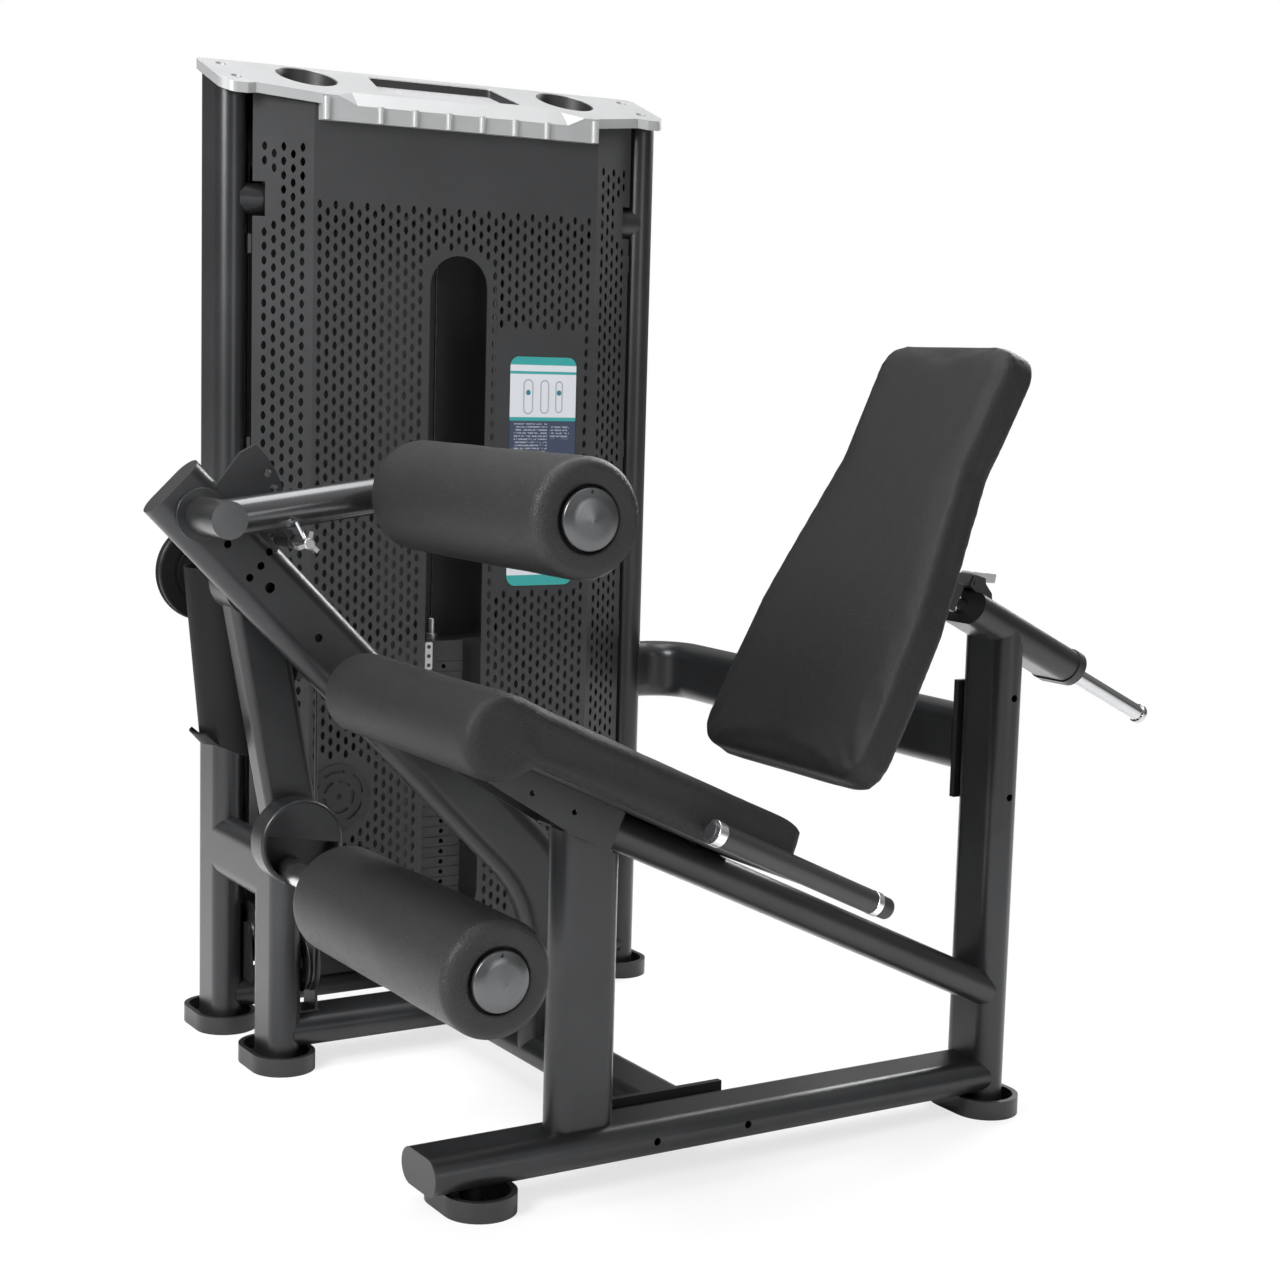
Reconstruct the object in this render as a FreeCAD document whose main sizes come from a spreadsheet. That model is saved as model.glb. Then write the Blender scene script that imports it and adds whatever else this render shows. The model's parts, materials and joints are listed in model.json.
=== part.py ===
import FreeCAD, Part
import os, math
import Sketcher
from FreeCAD import Vector as V, Rotation, Placement, Matrix

# Selectorised seated leg machine: weight-stack tower, seat frame, roller lever, thigh roller arm.
# Millimetres. X runs from the lever side towards the user's back, Y from the seat towards the tower, Z up.
# The origin is the underside of the foot at the front of the seat base beam.

doc = FreeCAD.newDocument("leg_machine")
sheet = doc.addObject("Spreadsheet::Sheet", "Dims")
P = {}


def dim(alias, value, note=""):
    row = len(P) + 1
    sheet.set("A%d" % row, note or alias.replace("_", " "))
    sheet.set("B%d" % row, "%.6g" % value)
    sheet.setAlias("B%d" % row, alias)
    P[alias] = value


# ---------------------------------------------------------------- driving dimensions
dim("tube_width", 100, "frame tube, wide side")
dim("tube_depth", 50, "frame tube, narrow side")
dim("tube_wall", 3, "frame tube wall")
dim("beam_axis_height", 57, "floor beams, height of the centre line")
dim("post_foot_height", 8, "posts stand on the foot floor")
dim("seat_angle", 24.6, "seat and slope beam, degrees down to the rear")
dim("back_angle", 26.6, "backrest lean from upright, degrees")
dim("slide_angle", 26.3, "backrest slide, degrees down to the rear")
dim("base_front", -74, "front end of the base beam")
dim("rear_post_place", 857, "rear post centre")
dim("front_post_place", 160, "front post centre")
dim("cross_beam_place", 335, "cross beam centre line")
dim("tower_line", 902, "centre line of the tower pillars")
dim("tower_right", 755, "right pillar centre")
dim("outrigger_line", 660, "outrigger centre line")
dim("outrigger_post_height", 360, "outrigger post top")
dim("bent_beam_line", 392, "bent beam, centre plane")
dim("stack_place", 378, "weight stack centre")
dim("guide_spacing", 115, "guide rod offset from the stack centre")
dim("guide_radius", 10, "guide rod radius")
dim("plate_height", 17.8, "weight plate thickness")
dim("plate_length", 300, "weight plate length")
dim("plate_depth", 100, "weight plate depth")
dim("nose_width", 76, "weight plate nose that carries the pin hole")
dim("plates_low", 17, "plates left on the bumpers")
dim("plates_high", 10, "plates lifted by the selector")
dim("stack_base", 113, "underside of the lowest plate")
dim("head_height", 35, "head plate thickness")
dim("shroud_front", 818, "front plane of the front shroud")
dim("shroud_skin", 2, "shroud sheet thickness")
dim("shroud_base", 84, "lower edge of the shrouds")
dim("slot_radius", 53, "selector slot half width")
dim("slot_top", 1271, "top of the selector slot")
dim("slot_base", 150, "bottom of the selector slot")
dim("cover_angle", 20.5, "tilt of the tower top cover, degrees")
dim("cover_height", 16, "top cover thickness measured upwards")
dim("pulley_radius", 45, "cable line radius on a pulley")
dim("cam_radius", 70, "cable line radius on the cam")
dim("cable_radius", 2.5, "steel cable radius")
dim("foot_length", 150, "rubber foot, long side")
dim("foot_width", 100, "rubber foot, short side")
dim("foot_height", 28, "rubber foot rim height")
dim("roller_radius", 75, "foam roller radius")
dim("roller_half", 230, "foam roller half length")
dim("axle_radius", 12.5, "roller axle radius")
dim("axle_play", 0.05, "radial running clearance")
dim("pivot_radius", 15, "lever pivot shaft radius")
dim("lever_width", 75, "lever tube width")
dim("lever_depth", 50, "lever tube depth")
dim("arm_radius", 25.4, "thigh arm tube radius")
dim("drum_radius", 62, "ankle drum radius")
dim("seat_width", 420, "seat pad width")
dim("seat_top", 94, "seat top above the slope beam centre line")
dim("roll_radius", 55, "front roll of the seat")
dim("pad_thickness", 55, "backrest pad thickness")
dim("pad_length", 660, "backrest pad length")
dim("grip_radius", 15.8, "hand grip radius")
dim("rod_radius", 12.5, "backrest slide rod radius")
doc.recompute()

NODES = {}
GROUPS = {}
A = math.radians(P["seat_angle"])
AB = math.radians(P["back_angle"])
B = math.radians(P["slide_angle"])
BEND = math.radians(45.4)


def keep(name, obj):
    obj.Label = name
    NODES[name] = obj
    return obj


def member(node, name, obj):
    """A separate solid that shares a node with its welded or identical neighbours."""
    obj.Label = name
    GROUPS.setdefault(node, []).append(obj)
    return obj


def bind(obj, prop, value):
    if isinstance(value, str):
        obj.setExpression(prop, value)
    else:
        setattr(obj, prop, value)


def D(text):
    """Turns bare dimension names into sheet references."""
    out, word = "", ""
    for ch in text + " ":
        if ch.isalnum() or ch == "_":
            word += ch
        else:
            out += ("Dims." + word) if word in P else word
            word = ""
            out += ch
    return out.strip()


def frame_place(origin, xdir, zdir):
    """Placement whose local X and Z point along the given directions."""
    z = V(*zdir).normalize()
    x = V(*xdir)
    x = (x - z * x.dot(z)).normalize()
    y = z.cross(x)
    m = Matrix(x.x, y.x, z.x, origin[0], x.y, y.y, z.y, origin[1], x.z, y.z, z.z, origin[2], 0, 0, 0, 1)
    return Placement(m)


AXZ = Placement(V(0, 0, 0), Rotation(V(1, 0, 0), 90))  # local XY drawn in the world XZ plane, local Z = -Y


def xz_place(y):
    """Local x, y = world X, Z; local +Z = world -Y; local origin at this Y."""
    return Placement(V(0, y, 0), Rotation(V(1, 0, 0), 90))


def plane_of(body, role="XY_Plane"):
    for f in body.Origin.OriginFeatures:
        if f.Role == role:
            return f


def rounded(points):
    """points: (x, y) or (x, y, radius). Returns line and arc geometry of the closed outline."""
    n = len(points)
    geo = []
    ends = []
    for i in range(n):
        p = points[i]
        c = V(p[0], p[1], 0)
        r = p[2] if len(p) > 2 else 0
        if not r:
            ends.append((c, c, None))
            continue
        a = V(points[i - 1][0], points[i - 1][1], 0)
        b = V(points[(i + 1) % n][0], points[(i + 1) % n][1], 0)
        u = (a - c).normalize()
        w = (b - c).normalize()
        ang = u.getAngle(w)
        t = r / math.tan(ang / 2)
        s, e = c + u * t, c + w * t
        mid = (u + w).normalize()
        m = c + mid * (r / math.sin(ang / 2) - r)
        ends.append((s, e, m))
    for i in range(n):
        s, e, m = ends[i]
        if m is not None:
            geo.append(Part.Arc(s, m, e))
        nxt = ends[(i + 1) % n][0]
        if (nxt - e).Length > 1e-6:
            geo.append(Part.LineSegment(e, nxt))
    return geo


def circle(x, y, r):
    return [Part.Circle(V(x, y, 0), V(0, 0, 1), r)]


def new_body(label, place=None):
    body = doc.addObject("PartDesign::Body", label)
    body.Label = label
    if place is not None:
        body.Placement = place
    return body


def sketch_on(body, geo, role="XY_Plane", name=None):
    sk = body.newObject("Sketcher::SketchObject", name or (body.Name + "_sketch"))
    sk.AttachmentSupport = [(plane_of(body, role), "")]
    sk.MapMode = "FlatFace"
    for g in geo:
        if isinstance(g, Part.Arc):
            g = g
        sk.addGeometry(g, False)
    return sk


def pad(label, geo, length, place=None, both=False):
    """A plate or bar: one sketch, padded along local +Z by a bound length."""
    body = new_body(label, place)
    sk = sketch_on(body, geo)
    pd = body.newObject("PartDesign::Pad", body.Name + "_pad")
    pd.Profile = sk
    bind(pd, "Length", length)
    if both:
        pd.Midplane = True
    sk.Visibility = False
    body.Tip = pd
    return body


def revolve(label, pts, place=None, geo=None):
    """A turned part: half profile in local x (radius) and y (along the axis), revolved about local Y."""
    body = new_body(label, place)
    sk = sketch_on(body, geo or rounded(pts))
    rv = body.newObject("PartDesign::Revolution", body.Name + "_turn")
    rv.Profile = sk
    rv.ReferenceAxis = (sk, ["V_Axis"])
    rv.Angle = 360
    body.Tip = rv
    return body


def stadium_sketch(body, wall=True, grow=0.0, width="tube_width", depth="tube_depth"):
    """Flat-oval section, fully constrained: width along local X, depth along local Y."""
    w, t, wl = P[width], P[depth], P["tube_wall"]
    sk = body.newObject("Sketcher::SketchObject", body.Name + "_section")
    sk.AttachmentSupport = [(plane_of(body), "")]
    sk.MapMode = "FlatFace"

    def ring(rad, tag, expr):
        c = w / 2 - t / 2
        i = sk.GeometryCount
        sk.addGeometry(Part.LineSegment(V(-c, rad, 0), V(c, rad, 0)), False)
        sk.addGeometry(Part.ArcOfCircle(Part.Circle(V(c, 0, 0), V(0, 0, 1), rad), -math.pi / 2, math.pi / 2), False)
        sk.addGeometry(Part.LineSegment(V(c, -rad, 0), V(-c, -rad, 0)), False)
        sk.addGeometry(Part.ArcOfCircle(Part.Circle(V(-c, 0, 0), V(0, 0, 1), rad), math.pi / 2, 3 * math.pi / 2), False)
        sk.addConstraint(Sketcher.Constraint("Tangent", i, 2, i + 1, 2))
        sk.addConstraint(Sketcher.Constraint("Tangent", i + 1, 1, i + 2, 1))
        sk.addConstraint(Sketcher.Constraint("Tangent", i + 2, 2, i + 3, 2))
        sk.addConstraint(Sketcher.Constraint("Tangent", i + 3, 1, i, 1))
        sk.addConstraint(Sketcher.Constraint("Symmetric", i + 1, 3, i + 3, 3, -1, 1))
        sk.addConstraint(Sketcher.Constraint("PointOnObject", i + 1, 3, -1))
        k = sk.addConstraint(Sketcher.Constraint("Radius", i + 1, rad))
        sk.renameConstraint(k, tag + "_radius")
        sk.setExpression("Constraints." + tag + "_radius", expr)
        k = sk.addConstraint(Sketcher.Constraint("DistanceX", i + 3, 3, i + 1, 3, 2 * c))
        sk.renameConstraint(k, tag + "_span")
        sk.setExpression("Constraints." + tag + "_span", D("%s - %s" % (width, depth)))

    ring(t / 2 + grow, "outer", D("%s / 2 + %g" % (depth, grow)))
    if wall:
        ring(t / 2 - wl, "inner", D("%s / 2 - tube_wall" % depth))
    return sk


def oval(label, p0, p1, wide, wall=True, grow=0.0, length=None):
    """Straight flat-oval tube (or its solid envelope) from p0 to p1, wide side along the given direction."""
    d = V(*p1) - V(*p0)
    body = new_body(label, frame_place(p0, wide, (d.x, d.y, d.z)))
    sk = stadium_sketch(body, wall, grow)
    pd = body.newObject("PartDesign::Pad", body.Name + "_pad")
    pd.Profile = sk
    bind(pd, "Length", length if length else d.Length)
    body.Tip = pd
    return body


def box(label, lx, ly, lz, place):
    o = doc.addObject("Part::Box", label)
    bind(o, "Length", lx)
    bind(o, "Width", ly)
    bind(o, "Height", lz)
    o.Placement = place
    return o


def cyl(label, r, h, base, axis):
    """Cylinder of radius r and height h from a base point along an axis."""
    o = doc.addObject("Part::Cylinder", label)
    bind(o, "Radius", r)
    bind(o, "Height", h)
    o.Placement = Placement(V(*base), Rotation(V(0, 0, 1), V(*axis)))
    return o


def cut(label, base, tools):
    if len(tools) == 1:
        tool = tools[0]
    else:
        tool = doc.addObject("Part::MultiFuse", label + "_tools")
        tool.Shapes = tools
    c = doc.addObject("Part::Cut", label)
    c.Base = base
    c.Tool = tool
    return c


def fuse(label, shapes):
    f = doc.addObject("Part::MultiFuse", label)
    f.Shapes = shapes
    f.Refine = True
    return f


def group(label, shapes):
    g = doc.addObject("Part::Compound", label)
    g.Links = shapes
    return g


def polar(cx, cz, r, deg):
    return (cx + r * math.cos(math.radians(deg)), cz + r * math.sin(math.radians(deg)))


# Seat coordinates: s along the slope beam (positive to the rear), n square to it, origin on the beam axis.
S0 = V(155, 0, 505.6)
ES = V(math.cos(A), 0, -math.sin(A))
EN = V(math.sin(A), 0, math.cos(A))


def sn(s, n, y=0):
    return S0 + ES * s + EN * n + V(0, y, 0)


def seat_place(y):
    """Local x = s, local y = n, local +Z = world -Y, at this Y."""
    p = S0 + V(0, y, 0)
    m = Matrix(ES.x, EN.x, 0, p.x, ES.y, EN.y, -1, p.y, ES.z, EN.z, 0, p.z, 0, 0, 0, 1)
    return Placement(m)


# Slide coordinates: q along the backrest slide (positive to the rear), k square to it.
Q0 = V(803, 0, 758)
DQ = V(math.cos(B), 0, -math.sin(B))
DK = V(math.sin(B), 0, math.cos(B))


def qk(q, k, y=0):
    return Q0 + DQ * q + DK * k + V(0, y, 0)


def slide_place(y):
    p = Q0 + V(0, y, 0)
    return Placement(Matrix(DQ.x, DK.x, 0, p.x, DQ.y, DK.y, -1, p.y, DQ.z, DK.z, 0, p.z, 0, 0, 0, 1))


# Backrest coordinates: origin at the bottom of the front face, u up the pad, w to its rear.
P0 = V(452, 0, 558)
BU = V(math.sin(AB), 0, math.cos(AB))
BW = V(math.cos(AB), 0, -math.sin(AB))


def back_place(w):
    """Drawn as (y, u): local x = world Y, local y = up the pad, local +Z = to its rear."""
    o = P0 + BW * w
    x = V(0, 1, 0)
    return Placement(Matrix(x.x, BU.x, BW.x, o.x, x.y, BU.y, BW.y, o.y, x.z, BU.z, BW.z, o.z, 0, 0, 0, 1))


BX = P["beam_axis_height"]
TL = P["tower_line"]
TR = P["tower_right"]
OL = P["outrigger_line"]
CB = P["cross_beam_place"]
RP = P["rear_post_place"]
FZ = P["post_foot_height"]
BY = P["bent_beam_line"]
SX = P["stack_place"]

# ---------------------------------------------------------------- envelopes used to cope welded ends
env_rear = oval("env_rear_post", (RP, 0, 0), (RP, 0, 800), (0, 1, 0), wall=False)
env_slide = oval("env_housing", tuple(qk(-60, 0)), tuple(qk(260, 0)), (0, 1, 0), wall=False)
env_left = oval("env_pillar_left", (0, TL, 0), (0, TL, 1600), (0, 1, 0), wall=False)
env_right = oval("env_pillar_right", (TR, TL, 0), (TR, TL, 1600), (0, 1, 0), wall=False)
env_post = oval("env_outrigger_post", (0, OL, 0), (0, OL, 400), (0, 1, 0), wall=False)
env_cross = oval("env_cross_beam", (CB, 55, BX), (CB, 900, BX), (1, 0, 0), wall=False)
env_tower_base = oval("env_tower_base", (0, TL, BX), (TR, TL, BX), (0, 1, 0), wall=False)

# ---------------------------------------------------------------- feet: rubber cups with a raised rim
def foot(label, x, y, turned, plug):
    """Stadium cup: floor, rim and a seat for the post or a levelling stem for the beam."""
    fl, fw, fh = P["foot_length"], P["foot_width"], P["foot_height"]

    def stad(l, w, z0, hgt, name):
        b = new_body(name, Placement(V(x, y, z0), Rotation(V(0, 0, 1), 90 if not turned else 0)))
        r = w / 2
        c = l / 2 - r
        sk = b.newObject("Sketcher::SketchObject", b.Name + "_sketch")
        sk.AttachmentSupport = [(plane_of(b), "")]
        sk.MapMode = "FlatFace"
        for g in rounded([(-l / 2, -r, r - 0.001), (l / 2, -r, r - 0.001), (l / 2, r, r - 0.001), (-l / 2, r, r - 0.001)]):
            sk.addGeometry(g, False)
        p_ = b.newObject("PartDesign::Pad", b.Name + "_pad")
        p_.Profile = sk
        bind(p_, "Length", hgt)
        b.Tip = p_
        return b

    outer = stad(fl, fw, 0, D("foot_height"), label + "_outer")
    doc.recompute()
    inner = stad(fl - 16, fw - 16, FZ, D("foot_height"), label + "_inner")
    cup = cut(label + "_cup", outer, [inner])
    if plug:
        stem = cyl(label + "_stem", 16, 32 - FZ, (x, y, FZ), (0, 0, 1))
        return fuse(label, [cup, stem])
    return cup


feet = [
    foot("foot_seat_front", 0, 0, False, True),
    foot("foot_seat_rear", RP, 0, False, False),
    foot("foot_outrigger", 0, OL, False, False),
    foot("foot_tower_left", 0, TL, False, False),
    foot("foot_tower_right", TR, TL, False, False),
]
for f in feet:
    member("rubber_feet", f.Name, f)

# ---------------------------------------------------------------- seat frame
base_raw = oval("base_beam_raw", (P["base_front"], 0, BX), (RP - 10, 0, BX), (0, 1, 0), length=D("rear_post_place - 10 - base_front"))
bolt_x = (258, 407)
base_holes = [cyl("access_hole_%d" % i, 5.5, 40, (x, -60, BX), (0, 1, 0)) for i, x in enumerate(bolt_x)]
base_holes += [cyl("bolt_hole_%d" % i, 5, 40, (x, 25, BX), (0, 1, 0)) for i, x in enumerate(bolt_x)]
member("seat_frame", "seat_base_beam", cut("seat_base_beam", base_raw, [env_rear] + base_holes))


def end_cap(label, centre, wide, out):
    """Flat-oval closing plate 3 thick with a rounded outer edge."""
    d = V(*out).normalize() * 3
    b = oval(label, centre, (centre[0] + d.x, centre[1] + d.y, centre[2] + d.z), wide, wall=False)
    return b


member("tube_end_caps", "base_beam_cap", end_cap("base_beam_cap", (P["base_front"], 0, BX), (0, 1, 0), (-1, 0, 0)))

rear_raw = oval("rear_post_raw", (RP, 0, FZ), (RP, 0, 731), (0, 1, 0), length=D("731 - post_foot_height"))
rear_holes = [cyl("rear_access_%d" % i, 5.5, 40, (RP, -60, z), (0, 1, 0)) for i, z in enumerate((483, 631))]
rear_holes += [cyl("rear_bolt_hole_%d" % i, 5, 40, (RP, 25, z), (0, 1, 0)) for i, z in enumerate((483, 631))]
member("seat_frame", "seat_rear_post", cut("seat_rear_post", rear_raw, [env_slide] + rear_holes))

# Half space above the sleeve underside, used to trim the front post square to the slope beam.
slope_space = box("slope_space", 900, 200, 200, Placement(sn(-450, -28, -100), Rotation(V(0, 1, 0), P["seat_angle"])))
front_raw = oval("front_post_raw", (P["front_post_place"], 0, 82), (P["front_post_place"], 0, 520), (1, 0, 0), length=438)
member("seat_frame", "seat_front_post", cut("seat_front_post", front_raw, [slope_space]))

slope_raw = oval("slope_beam_raw", tuple(sn(-30, 0)), tuple(sn(762, 0)), (0, 1, 0))
member("seat_frame", "seat_slope_beam", cut("seat_slope_beam", slope_raw, [env_rear]))

# Seat bracket: sleeve round the slope beam, two side cheeks and a top web that carries the seat board.
env_slope = oval("env_slope_beam", tuple(sn(-60, 0)), tuple(sn(200, 0)), (0, 1, 0), wall=False)
sleeve_box = pad("sleeve_block", rounded([(-30, -28, 3), (27, -28, 3), (27, 26.5, 2), (-30, 26.5, 2)]), 108, seat_place(54))
sleeve = cut("sleeve", sleeve_box, [env_slope])
cheek_pts = [(-30, 26.5), (-205, 26.5, 4), (-211, 14, 6), (-211, -4, 8), (-161, -11.6, 30), (-30, -28)]
cheek_holes = circle(-116, 1, 4) + circle(-46, 0, 4)
cheek_a = pad("cheek_near", rounded(cheek_pts) + cheek_holes, 4, seat_place(-50))
cheek_b = pad("cheek_far", rounded(cheek_pts) + cheek_holes, 4, seat_place(54))
web = pad("seat_web", rounded([(-30, 22.5), (-30, 26.5), (-200, 26.5), (-200, 22.5)]), 100, seat_place(50))
member("seat_frame", "seat_bracket", fuse("seat_bracket", [sleeve, cheek_a, cheek_b, web]))

# ---------------------------------------------------------------- floor beams and the outrigger
flange = box("cross_flange_plate", 190, 10, 54, Placement(V(238, 50, 34), Rotation()))
flange_holes = [cyl("flange_hole_%d" % i, 5, 20, (x, 45, BX), (0, 1, 0)) for i, x in enumerate(bolt_x)]
member("side_frame", "cross_beam_flange", cut("cross_beam_flange", flange, flange_holes))

cross_raw = oval("cross_beam_raw", (CB, 60, BX), (CB, 880, BX), (1, 0, 0), length=820)
member("side_frame", "cross_beam", cut("cross_beam", cross_raw, [env_tower_base]))

outrigger_raw = oval("outrigger_raw", (8, OL, BX), (CB - 10, OL, BX), (0, 1, 0), length=D("cross_beam_place - 18"))
member("side_frame", "outrigger_beam", cut("outrigger_beam", outrigger_raw, [env_post, env_cross]))

member("side_frame", "outrigger_post", oval("outrigger_post", (0, OL, FZ), (0, OL, P["outrigger_post_height"]), (0, 1, 0),
                            length=D("outrigger_post_height - post_foot_height")))
member("tube_end_caps", "outrigger_post_cap", end_cap("outrigger_post_cap", (0, OL, P["outrigger_post_height"]), (0, 1, 0), (0, 0, 1)))

stub_raw = oval("tower_stub_raw", (0, OL + 20, 305), (0, TL - 20, 305), (0, 0, 1), length=D("tower_line - outrigger_line - 40"))
member("side_frame", "tower_stub", cut("tower_stub", stub_raw, [env_post, env_left]))

tbase_raw = oval("tower_base_raw", (8, TL, BX), (TR - 8, TL, BX), (0, 1, 0), length=D("tower_right - 16"))
member("tower_frame", "tower_base_beam", cut("tower_base_beam", tbase_raw, [env_left, env_right]))

# ---------------------------------------------------------------- tower frame
tan_c = math.tan(math.radians(P["cover_angle"]))


def cover_under(y):
    return 1524 + (y - 884) * tan_c


cover_space = box("cover_space", 1000, 400, 400, Placement(V(-120, 700, cover_under(700)), Rotation(V(1, 0, 0), P["cover_angle"])))
left_raw = oval("pillar_left_raw", (0, TL, FZ), (0, TL, 1570), (0, 1, 0), length=D("1570 - post_foot_height"))
member("tower_frame", "tower_pillar_left", cut("tower_pillar_left", left_raw, [cover_space]))
right_raw = oval("pillar_right_raw", (TR, TL, FZ), (TR, TL, 1570), (0, 1, 0), length=D("1570 - post_foot_height"))
member("tower_frame", "tower_pillar_right", cut("tower_pillar_right", right_raw, [cover_space]))

TOPZ = 1345
ttop_raw = oval("tower_top_raw", (8, TL, TOPZ), (TR - 8, TL, TOPZ), (0, 1, 0), length=D("tower_right - 16"))
cable_x = 42.0
ttop_holes = [cyl("cable_hole_left", 8, 80, (cable_x, TL, TOPZ - 40), (0, 0, 1)), cyl("cable_hole_middle", 8, 80, (SX, TL, TOPZ - 40), (0, 0, 1))]
member("tower_frame", "tower_top_beam", cut("tower_top_beam", ttop_raw, [env_left, env_right] + ttop_holes))

# Guide rods and the rubber rings the stack rests on.
gx = (SX - P["guide_spacing"], SX + P["guide_spacing"])
rods = [cyl("guide_rod_%d" % i, D("guide_radius"), TOPZ - 25 - 82, (x, TL, 82), (0, 0, 1)) for i, x in enumerate(gx)]
keep("guide_rods", group("guide_rods", rods))
bump = [revolve("bumper_%d" % i, [(10, 82), (24, 82, 2), (24, 109, 4), (16, 113), (10, 113)], Placement(V(x, TL, 0), Rotation(V(1, 0, 0), 90))) for i, x in enumerate(gx)]
keep("stack_bumpers", group("stack_bumpers", bump))

# ---------------------------------------------------------------- weight stack
PH, PLn, PDp = P["plate_height"], P["plate_length"], P["plate_depth"]
SB = P["stack_base"]


def plate(label, z0):
    hx, hy, c, nw = PLn / 2, PDp / 2, 6, P["nose_width"] / 2
    pts = [(-hx, 18 - hy, c), (-nw, 18 - hy, 4), (-nw, -hy, 3), (nw, -hy, 3), (nw, 18 - hy, 4), (hx, 18 - hy, c), (hx, hy, c), (-hx, hy, c)]
    geo = rounded(pts) + circle(-P["guide_spacing"], 0, 10.08) + circle(P["guide_spacing"], 0, 10.08) + circle(0, 0, 12)
    body = pad(label, geo, D("plate_height"), Placement(V(SX, TL, z0), Rotation()))
    return body


def plate_with_hole(label, z0):
    b = plate(label, z0)
    hole = cyl(label + "_pin_hole", 4.06, PDp / 2 + 10, (SX, TL - PDp / 2 - 10, z0 + PH / 2), (0, 1, 0))
    bevel = []
    for z, up in ((z0, 1), (z0 + PH, -1)):
        # narrow shadow groove between neighbouring plates
        g = box(label + "_groove_%d" % (up + 1), P["nose_width"] + 20, 3.5, 0.9, Placement(V(SX - P["nose_width"] / 2 - 10, TL - PDp / 2 - 2, z - (0 if up > 0 else 0.9)), Rotation()))
        bevel.append(g)
    return cut(label + "_cut", b, [hole] + bevel)


low = [plate_with_hole("plate_low_%d" % i, SB + PH * i) for i in range(int(P["plates_low"]))]
keep("weight_plates_lower", group("weight_plates_lower", low))
z_high = SB + PH * P["plates_low"]
high = [plate_with_hole("plate_high_%d" % i, z_high + PH * i) for i in range(int(P["plates_high"]))]
keep("weight_plates_upper", group("weight_plates_upper", high))
z_head = z_high + PH * P["plates_high"]
head_geo = rounded([(-150, -32, 8), (-38, -32, 4), (-38, -50, 3), (38, -50, 3), (38, -32, 4), (150, -32, 8), (150, 50, 8), (-150, 50, 8)]) + circle(-P["guide_spacing"], 0, 10.08) + circle(P["guide_spacing"], 0, 10.08) + circle(0, 0, 11)
keep("stack_head_plate", pad("stack_head_plate", head_geo, D("head_height"), Placement(V(SX, TL, z_head), Rotation())))
z_eye = z_head + P["head_height"]

# Selector rod: hangs through every plate, one cross hole per plate.
rod_raw = cyl("selector_rod_raw", 11, z_eye - 130, (SX, TL, 130), (0, 0, 1))
rod_holes = [cyl("rod_hole_%d" % i, 4.06, 40, (SX, TL - 20, SB + PH * (i + 0.5)), (0, 1, 0)) for i in range(1, int(P["plates_low"] + P["plates_high"]))]
member("selector_rod", "selector_rod_bar", cut("selector_rod_bar", rod_raw, rod_holes))
pin_z = z_high + PH / 2
pin = revolve("selector_pin", [(0, -16), (0, 74, 0), (4, 74, 0), (4, 12, 0), (7, 12), (7, 8), (15, 8, 3), (15, -16, 5)],
              Placement(V(SX, 838, pin_z), Rotation()))
keep("selector_pin", pin)

# Cable eye on the head plate.
eye = revolve("cable_eye", [(0, 0), (13, 0), (13, 8, 1), (8, 8), (8, 34, 2), (0, 34)], Placement(V(SX, TL, z_eye), Rotation(V(1, 0, 0), 90)))
member("selector_rod", "cable_eye", eye)
z_drop0 = z_eye + 34

# ---------------------------------------------------------------- shrouds
SF, SK = P["shroud_front"], P["shroud_skin"]
outline = [(30, 855), (118, SF), (638, SF), (725, 855)]


def sheet_strip(pts, skin):
    """Bent sheet of the given skin thickness behind an open outline."""
    n = len(pts)
    inner = []
    for i in range(n):
        dirs = []
        if i > 0:
            dirs.append((pts[i][0] - pts[i - 1][0], pts[i][1] - pts[i - 1][1]))
        if i < n - 1:
            dirs.append((pts[i + 1][0] - pts[i][0], pts[i + 1][1] - pts[i][1]))
        ns = []
        for d in dirs:
            l = math.hypot(*d)
            ns.append((-d[1] / l, d[0] / l))
        nx, ny = sum(a[0] for a in ns) / len(ns), sum(a[1] for a in ns) / len(ns)
        l2 = nx * nx + ny * ny
        inner.append((pts[i][0] + nx / l2 * skin, pts[i][1] + ny / l2 * skin))
    return list(pts) + inner[::-1]


front_sheet = pad("front_sheet", rounded(sheet_strip(outline, SK)), 1500, Placement(V(0, 0, P["shroud_base"]), Rotation()))
slot = pad("slot_tool", rounded([(SX - 53, P["slot_base"], 52.9), (SX + 53, P["slot_base"], 52.9), (SX + 53, P["slot_top"], 52.9), (SX - 53, P["slot_top"], 52.9)]), 60, xz_place(850))
notch = box("cable_notch", 80, 80, 190, Placement(V(0, 790, 60), Rotation()))
relief = [box("beam_relief_%d" % i, 24, 20, 54, Placement(V(x, 842, TOPZ - 27), Rotation())) for i, x in enumerate((24, 707))]
keep("front_shroud", cut("front_shroud", front_sheet, [cover_space, slot, notch] + relief))
rear_sheet = pad("rear_sheet", rounded([(8, 952), (747, 952), (747, 954), (8, 954)]), 1500, Placement(V(0, 0, P["shroud_base"]), Rotation()))
keep("rear_shroud", cut("rear_shroud", rear_sheet, [cover_space]))

# Shroud fixing tabs between pillar and shroud.
tabs = []
for i, z in enumerate((300, 620, 940, 1260)):
    for j, (x0, sgn) in enumerate(((25, 1), (TR - 25, -1))):
        t = pad("tab_%d_%d" % (i, j), rounded([(x0, 860), (x0 + sgn * 5, 858.5), (x0 + sgn * 5, 900), (x0, 900)]), 30, Placement(V(0, 0, z), Rotation()))
        tabs.append(t)
keep("shroud_tabs", group("shroud_tabs", tabs))

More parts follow.
